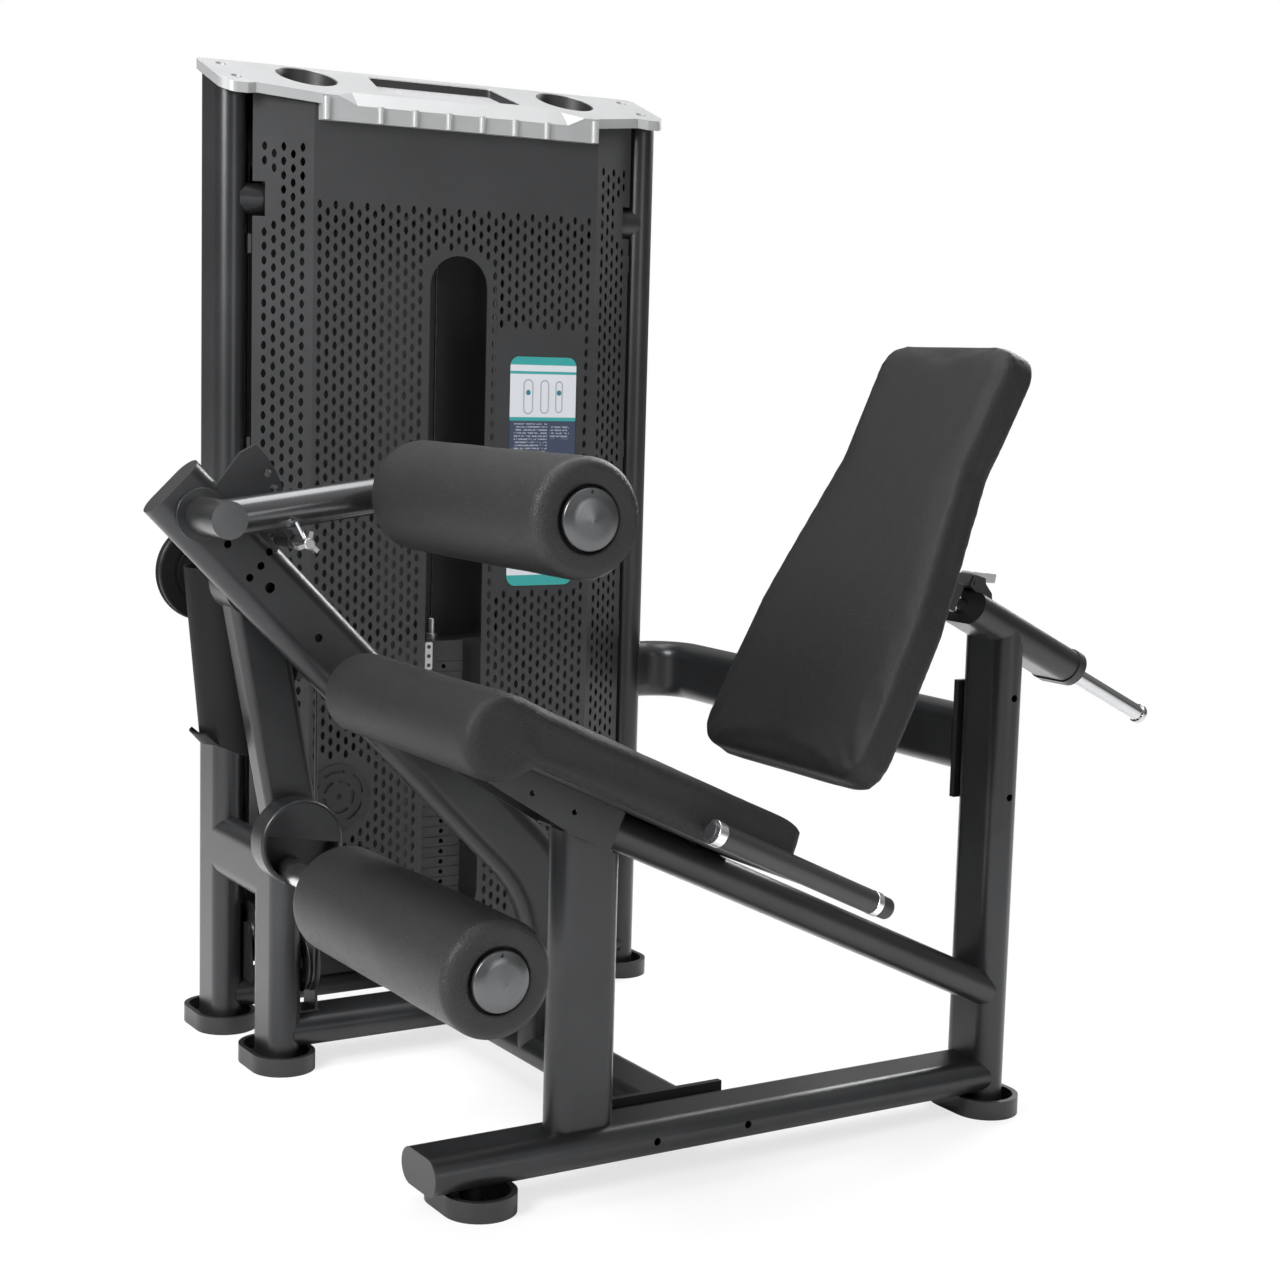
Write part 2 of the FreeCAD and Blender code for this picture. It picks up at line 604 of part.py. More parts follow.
# Instruction placard: a plain plate, and a round vent cover on the front shroud.
placard = pad("instruction_placard", rounded([(477, 722, 16), (604, 722, 16), (604, 1110, 16), (477, 1110, 16)]), 1.5, xz_place(SF))
keep("instruction_placard", placard)
RC = (170.5, 383)
vent = pad("vent_disc", circle(RC[0], RC[1], 54) + circle(RC[0], RC[1], 4), 3, xz_place(SF))


def arc_slot(label, r, half, deg, span):
    """Curved slot of the given half width round the roundel centre."""
    a0, a1 = math.radians(deg - span / 2), math.radians(deg + span / 2)

    def at(rad, a):
        return V(RC[0] + rad * math.cos(a), RC[1] + rad * math.sin(a), 0)

    def tip(a, way):
        return at(r, a + way * half / r)
    am = (a0 + a1) / 2
    geo = [Part.Arc(at(r + half, a0), at(r + half, am), at(r + half, a1)), Part.Arc(at(r + half, a1), tip(a1, 1), at(r - half, a1)),
           Part.Arc(at(r - half, a1), at(r - half, am), at(r - half, a0)), Part.Arc(at(r - half, a0), tip(a0, -1), at(r + half, a0))]
    return pad(label, geo, 10, xz_place(SF + 4))


vent_cuts = [arc_slot("vent_outer_slot_%d" % k, 42, 2.6, 30 + 72 * k, 44) for k in range(5)]
vent_cuts += [arc_slot("vent_inner_slot_%d" % k, 26, 2.6, 66 + 72 * k, 40) for k in range(5)]
keep("vent_roundel", cut("vent_roundel", vent, vent_cuts))

# ---------------------------------------------------------------- tower top cover
cover_pts = [(-28, 958, 12), (-28, 850, 18), (-12, 829, 14), (12, 829, 6), (28, 836, 2), (125, 807), (125, 803.5), (629.5, 803.5), (629.5, 807),
             (727, 836, 2), (743, 829, 6), (767, 829, 14), (783, 850, 18), (783, 958, 12)]
cover_prism = pad("cover_prism", rounded(cover_pts), 260, Placement(V(0, 0, 1420), Rotation()))
slab = box("cover_slab", 1000, 300, D("cover_height * cos(cover_angle)"), Placement(V(-120, 700, cover_under(700)), Rotation(V(1, 0, 0), P["cover_angle"])))
plate_part = doc.addObject("Part::Common", "cover_plate")
plate_part.Base = cover_prism
plate_part.Tool = slab
# Fascia that hangs in front of the shroud, with short rounded vertical ribs.
fascia = box("fascia", 504.5, SF - 803.5, 34, Placement(V(125, 803.5, 1470.5), Rotation()))
rib_x = [226, 286.6, 347.2, 407.8, 468.4, 529]
ribs = [cyl("fascia_rib_%d" % i, 5.5, 26.5, (x, 803.5, 1470.5), (0, 0, 1)) for i, x in enumerate(rib_x)]
ribs += [cyl("fascia_end_rib_%d" % i, 6.5, 36, (x, 804.5, 1470.5), (0, 0, 1)) for i, x in enumerate((133, 621.5))]
# Sloped pocket between the top plane and the fascia.
bt = V(0, 24, 22.9).normalize()
bn = V(0, -bt.z, bt.y)
bevel = doc.addObject("Part::Wedge", "bevel_tool")
for prop, val in (("Xmin", 186), ("Xmax", 569), ("Ymin", 0), ("Ymax", 14), ("Zmin", -52), ("Zmax", 16), ("X2min", 138.6), ("X2max", 614.6), ("Z2min", -60), ("Z2max", 20)):
    bind(bevel, prop, val)
bevel.Placement = Placement(Matrix(1, 0, 0, 0, 0, bn.y, -bt.y, 803.5, 0, bn.z, -bt.z, 1496, 0, 0, 0, 1))
cup_x = (139, 616)
cup_y = 900
cups = [cyl("cup_hole_%d" % i, 50, 200, (x, cup_y, 1440), (0, 0, 1)) for i, x in enumerate(cup_x)]
tray = pad("tray_tool", rounded([(262, 938, 10), (490, 938, 10), (508, 850, 8), (247, 850, 8)]), 200, Placement(V(0, 0, 1440), Rotation()))
screws_at = [(6, 932), (6, 864), (TR - 6, 864), (TR - 6, 932)]
screw_holes = [cyl("cover_screw_hole_%d" % i, 9, 200, (x, y, 1440), (0, 0, 1)) for i, (x, y) in enumerate(screws_at)]
plate_bevelled = cut("plate_bevelled", plate_part, [bevel])
fascia_bevelled = cut("fascia_bevelled", fascia, [bevel])
cover_raw = fuse("cover_raw", [plate_bevelled, fascia_bevelled] + ribs)
keep("tower_top_cover", cut("tower_top_cover", cover_raw, cups + [tray] + screw_holes))

# Liners: open cups and a shallow tray that sit in the cover's openings.
def liner(label, tool, wall_tool, depth):
    """Pocket lining: outer prism less an inner prism, trimmed to the tilted slab."""
    return cut(label, tool, [wall_tool])


slab2 = box("liner_slab", 1000, 300, 41.2, Placement(V(-120, 700, cover_under(700) - 29), Rotation(V(1, 0, 0), P["cover_angle"])))
slab3 = box("liner_hollow", 1000, 300, 90, Placement(V(-120, 700, cover_under(700) - 26), Rotation(V(1, 0, 0), P["cover_angle"])))
liners = []
for i, x in enumerate(cup_x):
    o = cyl("cup_outer_%d" % i, 50, 200, (x, cup_y, 1400), (0, 0, 1))
    n_ = cyl("cup_inner_%d" % i, 47.5, 200, (x, cup_y, 1400), (0, 0, 1))
    a = doc.addObject("Part::Common", "cup_solid_%d" % i)
    a.Base, a.Tool = o, slab2
    b = doc.addObject("Part::Common", "cup_hollow_%d" % i)
    b.Base, b.Tool = n_, slab3
    liners.append(cut("cup_liner_%d" % i, a, [b]))
member("cover_liners", "cup_liners", group("cup_liners", liners))
tray_o = pad("tray_outer", rounded([(262, 938, 10), (490, 938, 10), (508, 850, 8), (247, 850, 8)]), 200, Placement(V(0, 0, 1400), Rotation()))
tray_i = pad("tray_inner", rounded([(264, 936, 8), (488.3, 936, 8), (505.6, 852, 6), (249.4, 852, 6)]), 200, Placement(V(0, 0, 1400), Rotation()))
slab4 = box("tray_slab", 1000, 300, 14, Placement(V(-120, 700, cover_under(700)), Rotation(V(1, 0, 0), P["cover_angle"])))
slab5 = box("tray_hollow", 1000, 300, 60, Placement(V(-120, 700, cover_under(700) + 2.5), Rotation(V(1, 0, 0), P["cover_angle"])))
ta = doc.addObject("Part::Common", "tray_solid")
ta.Base, ta.Tool = tray_o, slab4
tb = doc.addObject("Part::Common", "tray_room")
tb.Base, tb.Tool = tray_i, slab5
member("cover_liners", "tray_liner", cut("tray_liner", ta, [tb]))

# ---------------------------------------------------------------- bent beam that carries both pivots
uB = V(math.cos(BEND), 0, -math.sin(BEND))  # down the diagonal
diag_pt = V(217.4, 0, 427.5)
vert_x = CB
t_ = (vert_x - diag_pt.x) / uB.x
corner = diag_pt + uB * t_
tip = V(-268.5, 0, 919.4)
bend_r = 230.0
turn = math.pi / 2 - BEND
tl = bend_r * math.tan(turn / 2)
pa = corner - uB * tl
pb = corner - V(0, 0, 1) * tl
# middle of the bend arc: centre lies to the lower left
nl = V(-math.sin(BEND), 0, -math.cos(BEND))
cen = pa + nl * bend_r
pm = cen + ((pa - cen) + (pb - cen)).normalize() * bend_r


def yy(p, y=BY):
    return V(p.x, y, p.z)


def ring_wire(rad, span):
    """Flat-oval section drawn at the beam tip: span along the in-plane normal, rad along Y."""
    nrm = V(math.sin(BEND), 0, math.cos(BEND))
    yv = V(0, 1, 0)
    c = yy(tip)
    h = span / 2
    a1, a2 = c - nrm * h + yv * rad, c + nrm * h + yv * rad
    b1, b2 = c - nrm * h - yv * rad, c + nrm * h - yv * rad
    e1 = Part.LineSegment(a1, a2).toShape()
    e2 = Part.Arc(a2, c + nrm * (h + rad), b2).toShape()
    e3 = Part.LineSegment(b2, b1).toShape()
    e4 = Part.Arc(b1, c - nrm * (h + rad), a1).toShape()
    return Part.Wire([e1, e2, e3, e4])


def bent(radius):
    path = Part.Wire([
        Part.LineSegment(yy(tip), yy(pa)).toShape(),
        Part.Arc(yy(pa), yy(pm), yy(pb)).toShape(),
        Part.LineSegment(yy(pb), V(vert_x, BY, BX + 0.5)).toShape(),
    ])
    return path.makePipeShell([ring_wire(radius, P["tube_width"] - P["tube_depth"])], True, False)


TH = V(-236, 0, 884)      # thigh arm axis
KN = V(-136, 0, 782)      # lever axis
RD = V(-3, 0, 663)        # upper cable pulley axis
GB = V(-63, 0, 709)       # guard bolt
outer_b = bent(P["tube_depth"] / 2)
inner_b = bent(P["tube_depth"] / 2 - P["tube_wall"])
bb = outer_b.cut(inner_b)
bent_feat = doc.addObject("Part::Feature", "bent_beam_tube")
bent_feat.Shape = bb
env_bent = doc.addObject("Part::Feature", "env_bent_beam")
env_bent.Shape = outer_b
hole_r = 112.0
arc_angles = [30 - 11.6 * k for k in range(8)]
bent_cuts = [
    cyl("knee_hole", D("pivot_radius"), 44, (KN.x, 378, KN.z), (0, 1, 0)),
    cyl("knee_view_hole", 7.5, 30, (KN.x, 352, KN.z), (0, 1, 0)),
    cyl("thigh_shaft_hole", D("axle_radius"), 80, (TH.x, 352, TH.z), (0, 1, 0)),
    cyl("guard_bolt_hole", 6, 80, (GB.x, 352, GB.z), (0, 1, 0)),
    cyl("pulley_shaft_hole", 8, 44, (RD.x, 378, RD.z), (0, 1, 0)),
    cyl("beam_hole_spare", 5.5, 22, (-198, 352, 843.5), (0, 1, 0)),
]
for k, a in enumerate(arc_angles):
    c = polar(TH.x, TH.z, hole_r, a)
    bent_cuts.append(cyl("sector_hole_%d" % k, 5.5, 26, (c[0], 354, c[1]), (0, 1, 0)))
member("bent_beam", "bent_beam_tube_cut", cut("bent_beam_tube_cut", bent_feat, [env_cross] + bent_cuts))

nrmB = V(math.sin(BEND), 0, math.cos(BEND))
member("tube_end_caps", "bent_beam_cap", oval("bent_beam_cap", tuple(yy(tip)), tuple(yy(tip - uB * 3.0)), tuple(nrmB), wall=False))

# Sector plate: stands on the beam, an arc of holes round the thigh arm axis.
def bl(a, n):
    """Point a along and n square to the beam, from the thigh axis projected on the beam."""
    return TH + uB * a + nrmB * n


r_out = 124.0
arc_s = polar(TH.x, TH.z, r_out, 50)
arc_m = polar(TH.x, TH.z, r_out, 10)
a_end = -45.4 + math.degrees(math.asin(30 / r_out))
arc_e = polar(TH.x, TH.z, r_out, a_end)
foot_l = bl(-10, 30)
plate_geo = [
    Part.LineSegment(V(foot_l.x, foot_l.z, 0), V(-178, 968, 0)),
    Part.LineSegment(V(-178, 968, 0), V(arc_s[0], arc_s[1], 0)),
    Part.Arc(V(arc_s[0], arc_s[1], 0), V(arc_m[0], arc_m[1], 0), V(arc_e[0], arc_e[1], 0)),
    Part.LineSegment(V(arc_e[0], arc_e[1], 0), V(foot_l.x, foot_l.z, 0)),
]
sector_raw = pad("sector_raw", plate_geo, 8, xz_place(380))
sector_holes = []
for k, a in enumerate(arc_angles):
    c = polar(TH.x, TH.z, hole_r, a)
    sector_holes.append(cyl("sector_plate_hole_%d" % k, 5.5, 30, (c[0], 360, c[1]), (0, 1, 0)))
member("bent_beam", "sector_plate", cut("sector_plate", sector_raw, [env_bent] + sector_holes))

# ---------------------------------------------------------------- thigh roller arm
def turned_y(label, pts, x, z, y0=0):
    """Turned part about a Y axis at (x, z): profile radius and world Y measured from y0."""
    return revolve(label, pts, Placement(V(x, y0, z), Rotation()))


AR = P["arm_radius"]
PLAY = P["axle_play"]
TR_AX = V(21, 0, 918)     # thigh roller axis
# Fixed shaft in the beam, with a shoulder ring at the beam face.
shaft = turned_y("thigh_pivot_shaft", [(0, 276), (10, 276), (12.5, 278.5), (12.5, 361), (37, 361, 1), (37, 367, 0), (12.5, 367), (12.5, 420), (0, 420)], TH.x, TH.z)
keep("thigh_pivot_shaft", shaft)

arm_dir = (TR_AX - TH)
arm_len = arm_dir.Length
arm_y = 288.0
hub_o = cyl("arm_hub_outer", D("arm_radius"), 98, (TH.x, 262, TH.z), (0, 1, 0))
tube_o = cyl("arm_tube_outer", D("arm_radius"), arm_len, (TH.x, arm_y, TH.z), (arm_dir.x, 0, arm_dir.z))
end_o = cyl("arm_end_boss", 22, 50, (TR_AX.x, arm_y - 25, TR_AX.z), (0, 1, 0))
pin_a = -16.4
pin_c = polar(TH.x, TH.z, hole_r, pin_a)
lug_pts = [(-152, 872), (-144, 872), (pin_c[0] + 2, pin_c[1] + 2), (pin_c[0] - 5, pin_c[1] - 2)]
lug = pad("pin_lug", rounded(lug_pts), 40, xz_place(335))
barrel = cyl("pin_barrel", 11, 50, (pin_c[0], 300, pin_c[1]), (0, 1, 0))
arm_solid = fuse("thigh_arm_solid", [hub_o, tube_o, end_o, lug, barrel])
arm_bores = [
    cyl("arm_hub_bore", D("axle_radius + axle_play"), 90, (TH.x, 275, TH.z), (0, 1, 0)),
    cyl("arm_axle_hole", D("axle_radius"), 80, (TR_AX.x, arm_y - 40, TR_AX.z), (0, 1, 0)),
    cyl("arm_tube_bore", D("arm_radius - tube_wall"), arm_len - 56, tuple(V(TH.x, arm_y, TH.z) + arm_dir.normalize() * 30), (arm_dir.x, 0, arm_dir.z)),
    cyl("pin_bore", 5.05, 60, (pin_c[0], 295, pin_c[1]), (0, 1, 0)),
]
keep("thigh_arm", cut("thigh_arm", arm_solid, arm_bores))

RH = P["roller_half"]
keep("thigh_axle", turned_y("thigh_axle", [(0, -222), (12, -222), (12.5, -221), (12.5, 313), (12, 314), (0, 314)], TR_AX.x, TR_AX.z))
pin_stem = turned_y("pull_pin_stem", [(0, 366.5), (4, 366.5), (5, 364.5), (5, 290), (8, 290), (8, 248, 2), (0, 248)], pin_c[0], pin_c[1])
wings = []
for k in range(3):
    a = math.radians(120 * k + 40)
    wings.append(box("pull_pin_wing_%d" % k, 16.5, 16, 6, Placement(V(pin_c[0] - 3 * math.sin(a), 250, pin_c[1] - 3 * math.cos(a)), Rotation(V(0, 1, 0), 120 * k + 40))))
pin_bar = cyl("pull_pin_bar", 2.5, 33, (pin_c[0], 258, pin_c[1]), (-13.5, 0, 25))
keep("thigh_pull_pin", fuse("thigh_pull_pin", [pin_stem, pin_bar] + wings))


def foam(label, c):
    r = P["roller_radius"]
    return turned_y(label, [(16, -RH), (r, -RH, 16), (r, RH, 16), (16, RH)], c.x, c.z)


def caps(label, c):
    """Near cap is a closed dome, far cap a ring the axle passes through; both are one node with the core tube."""
    near = turned_y(label + "_near", [(0, -224), (12.55, -224), (12.55, -200), (16, -200), (16, -RH), (38, -RH), (38, -234, 3), (28, -240, 24), (0, -243)], c.x, c.z)
    return cut(label + "_vented", near, [cyl(label + "_vent", 2.5, 11, (c.x - 1.6, -245, c.z + 33.5), (0, 1, 0))])


keep("thigh_roller_foam", foam("thigh_roller_foam", TR_AX))


def core(label, c):
    return turned_y(label, [(12.55, -200), (16, -200), (16, RH), (34, RH), (34, RH + 4, 1), (12.55, RH + 4)], c.x, c.z)


member("thigh_roller_caps", "thigh_roller_cap", caps("thigh_roller_cap", TR_AX))
member("thigh_roller_caps", "thigh_roller_core", core("thigh_roller_core", TR_AX))

# ---------------------------------------------------------------- lever
AK = V(-87, 0, 370)       # ankle roller axis
DC = V(-78, 0, 414)       # drum centre
member("beam_shafts", "lever_pivot_shaft", turned_y("lever_pivot_shaft", [(0, 380), (15, 380), (15, 634), (20, 634), (20, 640, 1), (0, 640)], KN.x, KN.z))
lev_end = V(-64, 0, 404)
ldir = (lev_end - KN)
llen = ldir.Length
lw, ld = P["lever_width"], P["lever_depth"]
lp = frame_place((KN.x, 450, KN.z), (math.cos(math.atan2(-ldir.x, -ldir.z)), 0, -math.sin(math.atan2(-ldir.x, -ldir.z))), (ldir.x, 0, ldir.z))
lev_pts = [(-lw / 2, -ld / 2, 12), (lw / 2, -ld / 2, 12), (lw / 2, ld / 2, 12), (-lw / 2, ld / 2, 12)]
lev_in = [(-lw / 2 + 3, -ld / 2 + 3, 9), (lw / 2 - 3, -ld / 2 + 3, 9), (lw / 2 - 3, ld / 2 - 3, 9), (-lw / 2 + 3, ld / 2 - 3, 9)]
lev_tube = pad("lever_tube", rounded(lev_pts), llen + 32, lp)
lev_hollow = pad("lever_hollow", rounded(lev_in), llen + 22, lp)
hub_l = cyl("lever_hub", 46, 60, (KN.x, 421, KN.z), (0, 1, 0))
hub_s = cyl("lever_hub_solid", 42, 60, (KN.x, 421, KN.z), (0, 1, 0))
lev_a = cut("lever_walls", lev_tube, [lev_hollow])
lev_b = fuse("lever_body", [lev_a, hub_l])
# bearing seats at both ends of the hub, running clearance between
lev_cuts = [cyl("lever_hub_bore", 26, 80, (KN.x, 411, KN.z), (0, 1, 0))]
keep("lever_arm", cut("lever_arm", lev_b, lev_cuts))
br = []
for i, y in enumerate((423, 465)):
    br.append(turned_y("lever_bearing_%d" % i, [(15.05, y), (26, y), (26, y + 14), (15.05, y + 14)], KN.x, KN.z))
keep("lever_bearings", group("lever_bearings", br))

# Drum that carries the ankle axle: thick disc, open pit below a chord, axle clamp inside.
DR = P["drum_radius"]
drum_o = turned_y("drum_blank", [(0, 382), (DR, 382, 5), (DR, 425, 3), (0, 425)], DC.x, DC.z)
ca = math.radians(-9)
chord = 6.0


def chord_arc(rad):
    """D shape below a chord that is tilted a little down to the rear."""
    h = math.sqrt(rad * rad - chord * chord)
    cx, sx = math.cos(ca), math.sin(ca)

    def w(a, b):
        return V(DC.x + a * cx - b * sx, DC.z + a * sx + b * cx, 0)
    return [Part.LineSegment(w(-h, chord), w(h, chord)), Part.Arc(w(h, chord), w(0, -rad), w(-h, chord))]


pit = pad("drum_pit", chord_arc(DR - 7), 40, xz_place(412))
drum_c = cut("drum_dish", drum_o, [pit])
clamp = cyl("axle_clamp", 21, 34, (AK.x, 382, AK.z), (0, 1, 0))
drum_f = fuse("drum_full", [drum_c, clamp])
drum_trim = turned_y("drum_trim", [(DR + 0.01, 370), (DR + 60, 370), (DR + 60, 440), (DR + 0.01, 440)], DC.x, DC.z)
keep("ankle_drum", cut("ankle_drum", drum_f, [cyl("ankle_axle_hole", 16.5, 60, (AK.x, 370, AK.z), (0, 1, 0)), drum_trim]))
keep("ankle_axle", turned_y("ankle_axle", [(0, -222), (12, -222), (12.5, -221), (12.5, 234.3), (16.5, 234.3), (16.5, 424, 1), (0, 424)], AK.x, AK.z))
keep("ankle_roller_foam", foam("ankle_roller_foam", AK))
member("ankle_roller_caps", "ankle_roller_cap", caps("ankle_roller_cap", AK))
member("ankle_roller_caps", "ankle_roller_core", core("ankle_roller_core", AK))

# Cam on the lever side of the cable.
CR, cr = P["cam_radius"], P["cable_radius"]
CY = 614.0
cam = turned_y("cable_cam", [(15.05, 481), (40, 481), (40, 486, 1), (24, 489), (24, 600), (40, 602, 2), (46, 602), (46.5, 603.2), (51.5, 603.2), (52, 602), (73.5, 602, 2), (73.5, 607, 1), (CR - cr - 0.1, 611), (CR - cr - 0.1, 617), (73.5, 621, 1), (73.5, 626, 2), (40, 626, 2), (30, 630), (15.05, 630)], KN.x, KN.z)
keep("cable_cam", cam)

# Guard over the cable run: bent sheet channel with a flared lower lip, open to the rear.
gy0, gy1, gt = 495.0, 595.0, 3.0
GR = (gy1 - gy0) / 2


def guard_cx(z):
    return -143.5 + (800 - z) * 0.1023


gd = V(-0.1023, 0, 1).normalize()
g_low = V(guard_cx(490), gy0 + GR, 490)
gp = frame_place(tuple(g_low), (1, 0, 0), tuple(gd))
g_len = (800 - 490) / gd.z
g_out = pad("guard_outer", rounded([(-GR, -GR, GR - 0.01), (150, -GR), (150, GR), (-GR, GR, GR - 0.01)]), g_len, gp)
g_in = pad("guard_inner", rounded([(-GR + gt, -GR + gt, GR - gt - 0.01), (160, -GR + gt), (160, GR - gt), (-GR + gt, GR - gt, GR - gt - 0.01)]), g_len, gp)
g_wall = cut("guard_wall", g_out, [g_in])
side_pts = [(-215, 800), (-215, 562.8), (-92, 512, 10), (-40, 640, 20), (-40, 735, 20), (-92, 800, 20)]
g_side = pad("guard_side", rounded(side_pts), 120, xz_place(605))
g_body = doc.addObject("Part::Common", "guard_body")
g_body.Base, g_body.Tool = g_wall, g_side
lip_full = revolve("guard_lip_full", [(48, 0), (51, -1.5), (64, 16), (61.5, 18), (51, 4.5), (48, 4.5)], Placement(V(guard_cx(545), gy0 + GR, 545), Rotation(V(0, 1, 0), gd)))
lip = doc.addObject("Part::Common", "guard_lip")
lip.Base, lip.Tool = lip_full, box("guard_lip_trim", 60, 68, 60, Placement(V(guard_cx(545) - 75, gy0 + GR - 34, 530), Rotation()))
guard_raw = fuse("guard_raw", [g_body, lip])
keep("cable_guard", cut("cable_guard", guard_raw, [cyl("guard_shaft_hole", 27, 140, (KN.x, 480, KN.z), (0, 1, 0)), cyl("guard_fix_hole", 6, 140, (GB.x, 480, GB.z), (0, 1, 0))]))
member("beam_shafts", "guard_bolt", turned_y("guard_bolt", [(0, 372), (6, 372), (6, 417), (12, 417), (12, 495), (6, 495), (6, 595), (10, 595, 1), (10, 602, 1), (0, 602)], GB.x, GB.z))

# ---------------------------------------------------------------- cable pulleys
PR = P["pulley_radius"]


def pulley(label, place):
    """Grooved pulley about local Y, centred on the local origin."""
    g = PR - cr - 0.1
    return revolve(label, [(8.05, -11), (16, -11), (18, -8), (34, -6), (PR + 5, -10, 1), (PR + 5, -8, 1), (g, -3), (g, 3), (PR + 5, 8, 1), (PR + 5, 10, 1), (34, 6), (18, 8), (16, 11), (8.05, 11)], place)


f1 = V(cable_x, CY + PR, 162)
f2 = V(cable_x, TL - PR, 162)
t1 = V(cable_x + PR, TL, 1430)
t2 = V(SX - PR, TL, 1430)
rot_x = Rotation(V(0, 0, 1), -90)   # local Y to world X
keep("guide_pulley", pulley("guide_pulley", Placement(V(RD.x, CY, RD.z), Rotation())))
keep("floor_pulley_front", pulley("floor_pulley_front", Placement(f1, rot_x)))
keep("floor_pulley_rear", pulley("floor_pulley_rear", Placement(f2, rot_x)))
keep("top_pulley_left", pulley("top_pulley_left", Placement(t1, Rotation())))
keep("top_pulley_middle", pulley("top_pulley_middle", Placement(t2, Rotation())))
member("beam_shafts", "guide_pulley_shaft", turned_y("guide_pulley_shaft", [(0, 380), (8, 380), (8, 417), (14, 417), (14, 602.5), (8, 602.5), (8, 626), (12, 626), (12, 632, 1), (0, 632)], RD.x, RD.z))


def fork(label, c, axis, base_z, wdt, up):
    """Two cheeks and an axle on a flat foot plate."""
    items = []
    if axis == "x":
        for i, off in enumerate((-16.5, 12.5)):
            pts = [(c.y - wdt / 2, base_z + 4), (c.y + wdt / 2, base_z + 4), (c.y + 16, c.z + 16, 14), (c.y - 16, c.z + 16, 14)]
            items.append(pad(label + "_cheek_%d" % i, rounded(pts), 4, Placement(V(c.x + off, 0, 0), Rotation(V(1, 1, 1), 120))))
        items.append(box(label + "_plate", 37, wdt, 4, Placement(V(c.x - 17, c.y - wdt / 2, base_z), Rotation())))
        items.append(cyl(label + "_axle", 8, 35.5, (c.x - 16.6, c.y, c.z), (1, 0, 0)))
    else:
        for i, off in enumerate((-12.5, 16.5)):
            pts = [(c.x - wdt / 2, base_z + 4), (c.x + wdt / 2, base_z + 4), (c.x + 16, c.z + 16, 14), (c.x - 16, c.z + 16, 14)]
            items.append(pad(label + "_cheek_%d" % i, rounded(pts), 4, xz_place(c.y + off)))
        items.append(box(label + "_plate", wdt, 40, 4, Placement(V(c.x - wdt / 2, c.y - 20, base_z), Rotation())))
        items.append(cyl(label + "_axle", 8, 38, (c.x, c.y - 19, c.z), (0, 1, 0)))
    return fuse(label, items)


member("pulley_brackets", "floor_pulley_front_bracket", fork("floor_pulley_front_bracket", f1, "x", 82, 46, True))
fb2 = fork("rear_fork_raw", f2, "x", 82, 60, True)
member("pulley_brackets", "floor_pulley_rear_bracket", cut("floor_pulley_rear_bracket", fb2, [env_tower_base]))
top_forks = [fork("top_fork_left", t1, "y", TOPZ + 25, 56, True), fork("top_fork_middle", t2, "y", TOPZ + 25, 56, True)]
member("pulley_brackets", "top_pulley_brackets", group("top_pulley_brackets", top_forks))

# ---------------------------------------------------------------- cable
def arc3(c, a, m, b):
    return Part.Arc(a, m, b).toShape()


def rim(c, ax, r, deg):
    """Point on a circle: plane XZ for ax 'y', plane YZ for ax 'x'; angle from +X (or +Y) towards +Z."""
    ca_, sa_ = math.cos(math.radians(deg)), math.sin(math.radians(deg))
    if ax == "y":
        return V(c.x + r * ca_, c.y, c.z + r * sa_)
    return V(c.x, c.y + r * ca_, c.z + r * sa_)


kc = V(KN.x, CY, KN.z)
rc = V(RD.x, CY, RD.z)
edges = []


def seg(a, b):
    edges.append(Part.LineSegment(a, b).toShape())


def arc(c, ax, r, d0, d1):
    edges.append(Part.Arc(rim(c, ax, r, d0), rim(c, ax, r, (d0 + d1) / 2), rim(c, ax, r, d1)).toShape())


# common tangent under the cam and over the pulley
dx, dz = RD.x - KN.x, RD.z - KN.z
dist = math.hypot(dx, dz)
base_a = math.degrees(math.atan2(dz, dx))
cross_a = math.degrees(math.acos((CR + PR) / dist))
ang_cam = base_a - cross_a
ang_pul = ang_cam + 180
arc(kc, "y", CR, 100, ang_cam + 360)
seg(rim(kc, "y", CR, ang_cam), rim(rc, "y", PR, ang_pul))
arc(rc, "y", PR, ang_pul, 0)
seg(rim(rc, "y", PR, 0), rim(f1, "x", PR, 180))
arc(f1, "x", PR, 180, 270)
seg(rim(f1, "x", PR, 270), rim(f2, "x", PR, 270))
arc(f2, "x", PR, 270, 360)
seg(rim(f2, "x", PR, 0), rim(t1, "y", PR, 180))
arc(t1, "y", PR, 180, 90)
seg(rim(t1, "y", PR, 90), rim(t2, "y", PR, 90))
arc(t2, "y", PR, 90, 0)
cable_path = Part.Wire(edges)
e0 = edges[0]
cable_section = Part.Wire([Part.Circle(e0.valueAt(e0.FirstParameter), e0.tangentAt(e0.FirstParameter), cr).toShape()])
cable_feat = doc.addObject("Part::Feature", "cable_sweep")
cable_feat.Shape = cable_path.makePipeShell([cable_section], True, False)
keep("cable_run", cable_feat)
keep("cable_drop", cyl("cable_drop", D("cable_radius"), 1430 - z_drop0, (SX, TL, z_drop0), (0, 0, 1)))

# ---------------------------------------------------------------- tie beam from the tower to the rear post
tie_z = 557.0
tie_r = 70.0
tx, ty = RP, 880.0


